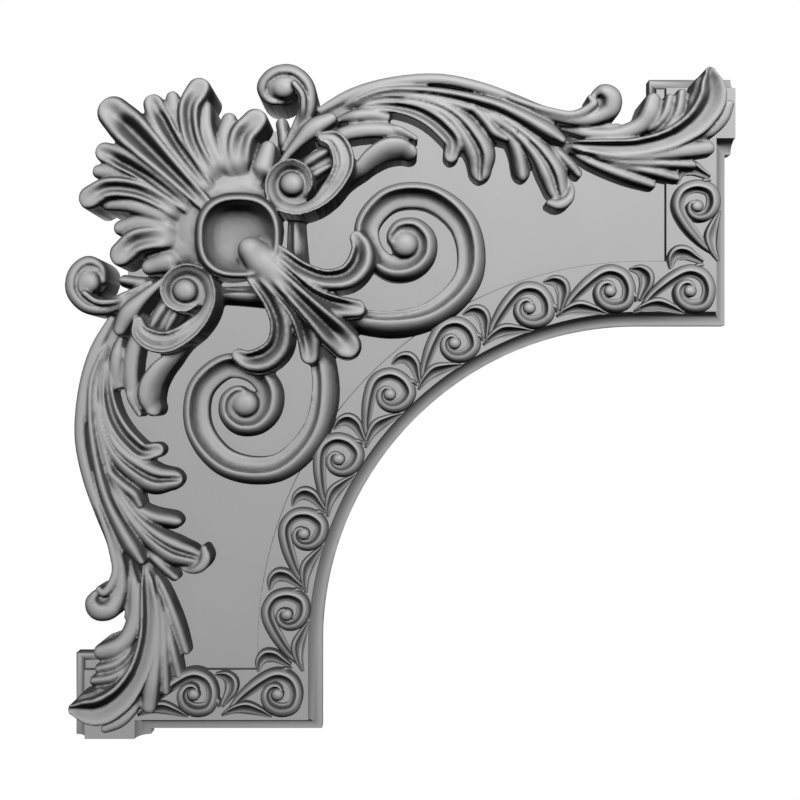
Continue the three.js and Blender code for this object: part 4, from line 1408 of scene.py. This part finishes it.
@dataclass(frozen=True)
class PrimedWood:
    """Satin grey primer over carved wood, painted shade in hollows and on steep sides, painted highlight on
    crests.
    """

    primer: Row = (0.42, 0.42, 0.42)
    # Colour of the painted shade in hollows and on steep sides.
    painted_shade: Row = (0.018, 0.018, 0.018)
    # Pale grey of the random mottle and of the painted highlight on the crests.
    pale_mottle_and_highlight: Row = (0.55, 0.55, 0.55)
    roughness: float = 0.54
    painted_shade_roughness: float = 0.85
    gloss: float = 0.3
    grain: float = 0.00012
    grain_strength: float = 0.5
    stroke_angle: float = 45.0
    stroke_stretch: float = 0.16
    stroke_scale: float = 900.0
    stroke_detail: float = 3.0
    mottle_scale: float = 38.0
    mottle_detail: float = 4.0
    mottle_range: Row = (0.3, 0.7)
    mottle_rub: float = 0.10
    least_painted_strength: float = 0.88
    painted_shade_range: Row = (0.12, 0.85)
    crest_range: Row = (0.2, 0.9)
    crest_highlight: float = 0.5
    crest_gain: float = 3.0
    crest_passes: int = 6
    reach: int = 7
    full_depth: float = 10.0
    depth_weight: float = 0.45
    near_reach: int = 3
    near_full_depth: float = 10.0 / 3
    near_weight: float = 0.3
    steep_power: float = 1.45
    edge_share: float = 0.5
    cup_painted_shade: float = 0.3
    cup_share: float = 0.44
    least_shade_height: float = 4.0
    full_shade_height: float = 28.0
    foot_share: float = 0.35

    def mark(self, mesh: bpy.types.Mesh, front: Front, board: Board, cup: Cup) -> None:
        """Keeps the crests, for a painted highlight, and the painted shade of hollows and steep sides as
        attributes.

        The painted shade is the weighed depth over a wide and a near square, plus a power of the
        steepness, at most 1. It is weaker on the free edge of the board and, towards the back, on what
        hangs over the edge, and more even in the cup.

        Args:
            mesh: Mesh of the finished moulding.
            front: Height of the front.
            board: Board under the carving.
            cup: Cup of the spray.
        """
        surface = Surface(mesh)
        points = surface.points
        # Painted shade: darker the deeper a point lies below the mean front and the steeper its side.
        painted_shade = self.depth_weight * front.depth(points, self.reach, self.full_depth)
        painted_shade += self.near_weight * front.depth(points, self.near_reach, self.near_full_depth)
        painted_shade += surface.steepness() ** self.steep_power
        painted_shade = np.clip(painted_shade, 0.0, 1.0) * np.where(board.free_edge(points), self.edge_share, 1.0)
        painted_shade += cup.holds(points) * (self.cup_painted_shade + (self.cup_share - 1) * painted_shade)
        height = (-points[:, 1] - self.least_shade_height) / (self.full_shade_height - self.least_shade_height)
        share = self.foot_share + (1 - self.foot_share) * np.clip(height, 0.0, 1.0)
        painted_shade *= np.where(board.overhang(points), share, 1.0)
        surface.keep("painted_shade", painted_shade)
        # Crest measure, read by the highlight painted along the crests.
        surface.keep("painted_highlight", surface.crests(self.crest_gain, self.crest_passes))

    def brushed(self) -> bpy.types.ShaderNodeTree:
        """Builds the group for brushed primer: a height of fine strokes and a soft mottle.

        Returns:
            A group with Scale in, Height and Mottle out.
        """
        tree = bpy.data.node_groups.new("brushed_primer", "ShaderNodeTree")
        size = tree.interface.new_socket("Scale", in_out="INPUT", socket_type="NodeSocketFloat")
        size.default_value = 1.0
        for name in ("Height", "Mottle"):
            tree.interface.new_socket(name, in_out="OUTPUT", socket_type="NodeSocketFloat")
        inside = tree.nodes.new("NodeGroupInput")
        outside = tree.nodes.new("NodeGroupOutput")
        place = tree.nodes.new("ShaderNodeTexCoord")
        sized = tree.nodes.new("ShaderNodeVectorMath")
        sized.operation = "SCALE"
        tree.links.new(place.outputs["Object"], sized.inputs[0])
        tree.links.new(inside.outputs["Scale"], sized.inputs["Scale"])
        turned = tree.nodes.new("ShaderNodeMapping")
        turned.inputs["Rotation"].default_value = (0.0, math.radians(self.stroke_angle), 0.0)
        turned.inputs["Scale"].default_value = (1.0, 1.0, self.stroke_stretch)
        tree.links.new(sized.outputs[0], turned.inputs["Vector"])
        for name, source, scale, detail in (
            ("Height", turned.outputs["Vector"], self.stroke_scale, self.stroke_detail),
            ("Mottle", sized.outputs[0], self.mottle_scale, self.mottle_detail),
        ):
            noise = tree.nodes.new("ShaderNodeTexNoise")
            noise.inputs["Scale"].default_value = scale
            noise.inputs["Detail"].default_value = detail
            tree.links.new(source, noise.inputs["Vector"])
            tree.links.new(noise.outputs["Fac"], outside.inputs[name])
        return tree

    def material(self) -> bpy.types.Material:
        """Builds the material.

        Returns:
            A material whose colour follows painted shade, painted highlight and mottle; its roughness rises
            with the shade.
        """
        material = bpy.data.materials.new("primed_wood")
        material.use_nodes = True
        wiring = Wiring(material.node_tree)
        shader = wiring.nodes["Principled BSDF"]
        shader.inputs["Specular IOR Level"].default_value = self.gloss
        brushed = wiring.nodes.new("ShaderNodeGroup")
        brushed.node_tree = self.brushed()
        mottle = brushed.outputs["Mottle"]
        uneven = wiring.ranged(mottle, self.mottle_range, (self.least_painted_strength, 1.0))
        # Painted shade, weakened at random by the mottle.
        painted_shade_mapped = wiring.ranged(wiring.attribute("painted_shade"), self.painted_shade_range, (0.0, 1.0))
        painted_shade = wiring.product(painted_shade_mapped, uneven)
        # Painted highlight on the crests, weakened at random by the mottle.
        highlight_mapped = wiring.ranged(wiring.attribute("painted_highlight"), self.crest_range, (0.0, self.crest_highlight))
        painted_highlight = wiring.product(highlight_mapped, uneven)
        cloud = wiring.ranged(mottle, self.mottle_range, (0.0, self.mottle_rub))
        base = wiring.mixed(cloud, self.primer, self.pale_mottle_and_highlight)
        # Primer darkened by the painted shade, then lightened by the painted highlight.
        colour = wiring.mixed(painted_highlight, wiring.mixed(painted_shade, base, self.painted_shade), self.pale_mottle_and_highlight)
        wiring.links.new(colour, shader.inputs["Base Color"])
        rough = wiring.ranged(painted_shade, (0.0, 1.0), (self.roughness, self.painted_shade_roughness))
        wiring.links.new(rough, shader.inputs["Roughness"])
        bump = wiring.nodes.new("ShaderNodeBump")
        bump.inputs["Strength"].default_value = self.grain_strength
        bump.inputs["Distance"].default_value = self.grain
        wiring.links.new(brushed.outputs["Height"], bump.inputs["Height"])
        wiring.links.new(bump.outputs["Normal"], shader.inputs["Normal"])
        return material


@dataclass
class CornerMoulding:
    """The whole moulding, one carved piece."""

    board: Board = field(default_factory=Board)
    border: ScrollBorder = field(default_factory=ScrollBorder)
    spray: LeafSpray = field(default_factory=LeafSpray)
    cup: Cup = field(default_factory=Cup)
    centre: CentreLeaf = field(default_factory=CentreLeaf)
    finish: PrimedWood = field(default_factory=PrimedWood)
    grain: float = 0.85
    passes: int = 2
    kept_faces: float = 0.19
    sharp_angle: float = 52.0

    def carved(self) -> bpy.types.Object:
        """Joins the leaves, hollows the cup, adds what grows out of it and softens all of it.

        Returns:
            The carving, without board and border.
        """
        shells = [*self.spray.shells(), *(bed.shell() for bed in self.centre.beds), self.centre.lobe.shell()]
        carving = Joiner.union([shell.to_object(f"form_{i}") for i, shell in enumerate(shells)])
        carving = Joiner.combine(carving, self.cup.shell().to_object("cup"), "UNION")
        carving = Joiner.combine(carving, self.cup.hollow().to_object("hollow"), "DIFFERENCE")
        for frond in (self.centre.stalk, self.centre.droop, *self.spray.drooping()):
            carving = Joiner.combine(carving, frond.shell().to_object("droop"), "UNION")
        carving = Joiner.softened(carving, self.grain, self.passes)
        log.info("carving softened: %d faces", len(carving.data.polygons))
        return carving

    @staticmethod
    def fitted(mesh: bpy.types.Mesh) -> None:
        """Keeps the points inside the solid's box.

        Args:
            mesh: Mesh of the moulding, in metres.
        """
        points = Surface.read(mesh.vertices, "co", 3, np.float32)
        low, high = (np.array(corner, np.float32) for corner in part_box("corner_moulding"))
        inside = np.clip(points, low, high)
        mesh.vertices.foreach_set("co", inside.ravel())
        log.info("kept inside the solid: at most %.2f mm", np.abs(points - inside).max() / MILLIMETRE)

    def build(self) -> bpy.types.Object:
        """Joins board, carving and border, and dresses the one piece.

        Returns:
            The finished moulding.
        """
        board = self.board.shell().to_object("board")
        board = Joiner.combine(board, self.board.field().to_object("field"), "DIFFERENCE")
        carving = self.carved()
        heights = Surface(carving.data).points
        carving = Joiner.thinned(carving, self.kept_faces)
        scrolls = [shell.to_object(f"scroll_{i}") for i, shell in enumerate(self.border.shells())]
        border = Joiner.union(scrolls)
        log.info("border joined: %d scrolls", len(self.border.places()))
        heights = np.concatenate([heights, Surface(border.data).points])
        body = Joiner.union([board, carving, border])
        body.name = "carved_corner_moulding"
        mesh = body.data
        self.fitted(mesh)
        mesh.calc_loop_triangles()
        log.info("joined: %d triangles, %d vertices", len(mesh.loop_triangles), len(mesh.vertices))
        mesh.polygons.foreach_set("use_smooth", np.ones(len(mesh.polygons), bool))
        mesh.set_sharp_from_angle(angle=math.radians(self.sharp_angle))
        mesh.materials.clear()
        mesh.materials.append(self.finish.material())
        front = Front(heights, self.board.outline()[:, :2])
        # Painted shade and painted highlight are kept as attributes for the material.
        self.finish.mark(mesh, front, self.board, self.cup)
        return body


@dataclass(frozen=True)
class Studio:
    """Camera at the sight point, soft lights and a pale floor."""

    sensor: float = 36.0
    sheet_width: float = 800.0
    nearest: float = 0.01
    key_place: Row = (0.40, -1.30, 1.05)
    key_power: float = 146.0
    key_size: float = 0.12
    back_way: Row = (0.25, -0.95, 0.2)
    back_strength: float = 1.2
    right_way: Row = (-1.0, 0.0, -0.15)
    left_way: Row = (1.0, 0.0, -0.15)
    side_strength: float = 0.6
    sun_spread: float = 20.0
    sky: float = 0.05
    white: Row = (1.0, 1.0, 1.0, 1.0)
    floor_drop: float = 0.4
    floor_size: float = 1.6
    floor_far: float = 0.3
    floor_colour: Row = (0.8, 0.8, 0.79, 1.0)

    @staticmethod
    def sight(rise: float) -> np.ndarray:
        """Gives the place on the line of sight at a rise over the border, in metres."""
        return on_board(np.array(SIGHT[0]), np.array(SIGHT[1]), np.array(rise)) * MILLIMETRE

    def camera(self) -> None:
        """Sets the camera at the sight point, looking straight at the back."""
        data = bpy.data.cameras.new("camera")
        data.sensor_width = self.sensor
        data.lens = self.sensor * SIGHT_DISTANCE / self.sheet_width
        data.clip_start = self.nearest
        camera = bpy.data.objects.new("camera", data)
        bpy.context.collection.objects.link(camera)
        camera.location = self.sight(SIGHT_DISTANCE).tolist()
        camera.rotation_euler = (math.pi / 2, 0.0, 0.0)
        bpy.context.scene.camera = camera

    def world(self) -> None:
        """A white backdrop for the eye and a dim grey sky for the light."""
        bpy.context.scene.view_settings.view_transform = "Standard"
        world = bpy.data.worlds.new("studio")
        bpy.context.scene.world = world
        world.use_nodes = True
        tree = world.node_tree
        sky = tree.nodes["Background"]
        sky.inputs["Color"].default_value = self.white
        sky.inputs["Strength"].default_value = self.sky
        backdrop = tree.nodes.new("ShaderNodeBackground")
        backdrop.inputs["Color"].default_value = self.white
        path = tree.nodes.new("ShaderNodeLightPath")
        mix = tree.nodes.new("ShaderNodeMixShader")
        tree.links.new(path.outputs["Is Camera Ray"], mix.inputs["Fac"])
        tree.links.new(sky.outputs["Background"], mix.inputs[1])
        tree.links.new(backdrop.outputs["Background"], mix.inputs[2])
        tree.links.new(mix.outputs["Shader"], tree.nodes["World Output"].inputs["Surface"])

    @staticmethod
    def light(name: str, kind: str, power: float) -> bpy.types.Object:
        """Adds a light that casts no shadow and shines only on what it reaches straight.

        Args:
            name: Name of the light.
            kind: Kind of light.
            power: Its power or strength.

        Returns:
            The light, still at the origin.
        """
        data = bpy.data.lights.new(name, kind)
        data.energy = power
        data.use_shadow = False
        data.cycles.max_bounces = 0
        light = bpy.data.objects.new(name, data)
        bpy.context.collection.objects.link(light)
        return light

    def lamp(self) -> None:
        """Hangs the soft main light up in front, to the right."""
        light = self.light("key", "POINT", self.key_power)
        light.data.shadow_soft_size = self.key_size
        light.location = self.key_place

    def sun(self, name: str, direction: Row, strength: float) -> None:
        """Adds a distant soft light.

        Args:
            name: Name of the light.
            direction: Direction in which it shines.
            strength: Strength.
        """
        light = self.light(name, "SUN", strength)
        light.data.angle = math.radians(self.sun_spread)
        light.rotation_euler = Vector(direction).to_track_quat("-Z", "Y").to_euler()

    def floor(self) -> None:
        """Lays a pale floor below the view."""
        x, _, z = self.sight(0.0).tolist()
        left, right = x - self.floor_size / 2, x + self.floor_size / 2
        near, far = self.floor_far - self.floor_size, self.floor_far
        height = z - self.floor_drop
        corners = [(left, near, height), (right, near, height), (right, far, height), (left, far, height)]
        mesh = bpy.data.meshes.new("floor")
        mesh.from_pydata(corners, [], [(0, 1, 2, 3)])
        floor = bpy.data.objects.new("floor", mesh)
        bpy.context.collection.objects.link(floor)
        material = bpy.data.materials.new("pale_floor")
        material.use_nodes = True
        shader = material.node_tree.nodes["Principled BSDF"]
        shader.inputs["Base Color"].default_value = self.floor_colour
        mesh.materials.append(material)
        floor.visible_diffuse = False
        floor.visible_glossy = False

    def build(self) -> None:
        """Sets up camera, world, lights and floor."""
        self.camera()
        self.world()
        self.lamp()
        self.sun("back", self.back_way, self.back_strength)
        self.sun("right", self.right_way, self.side_strength)
        self.sun("left", self.left_way, self.side_strength)
        self.floor()


def main() -> None:
    """Builds the moulding and its studio."""
    logging.basicConfig(level=logging.INFO, format="%(name)s: %(message)s")
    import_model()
    Studio().build()
    moulding = CornerMoulding().build()
    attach(moulding, "root")
    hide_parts("corner_moulding")
    log.info("corner moulding: %d faces", len(moulding.data.polygons))


if __name__ == "__main__":
    main()
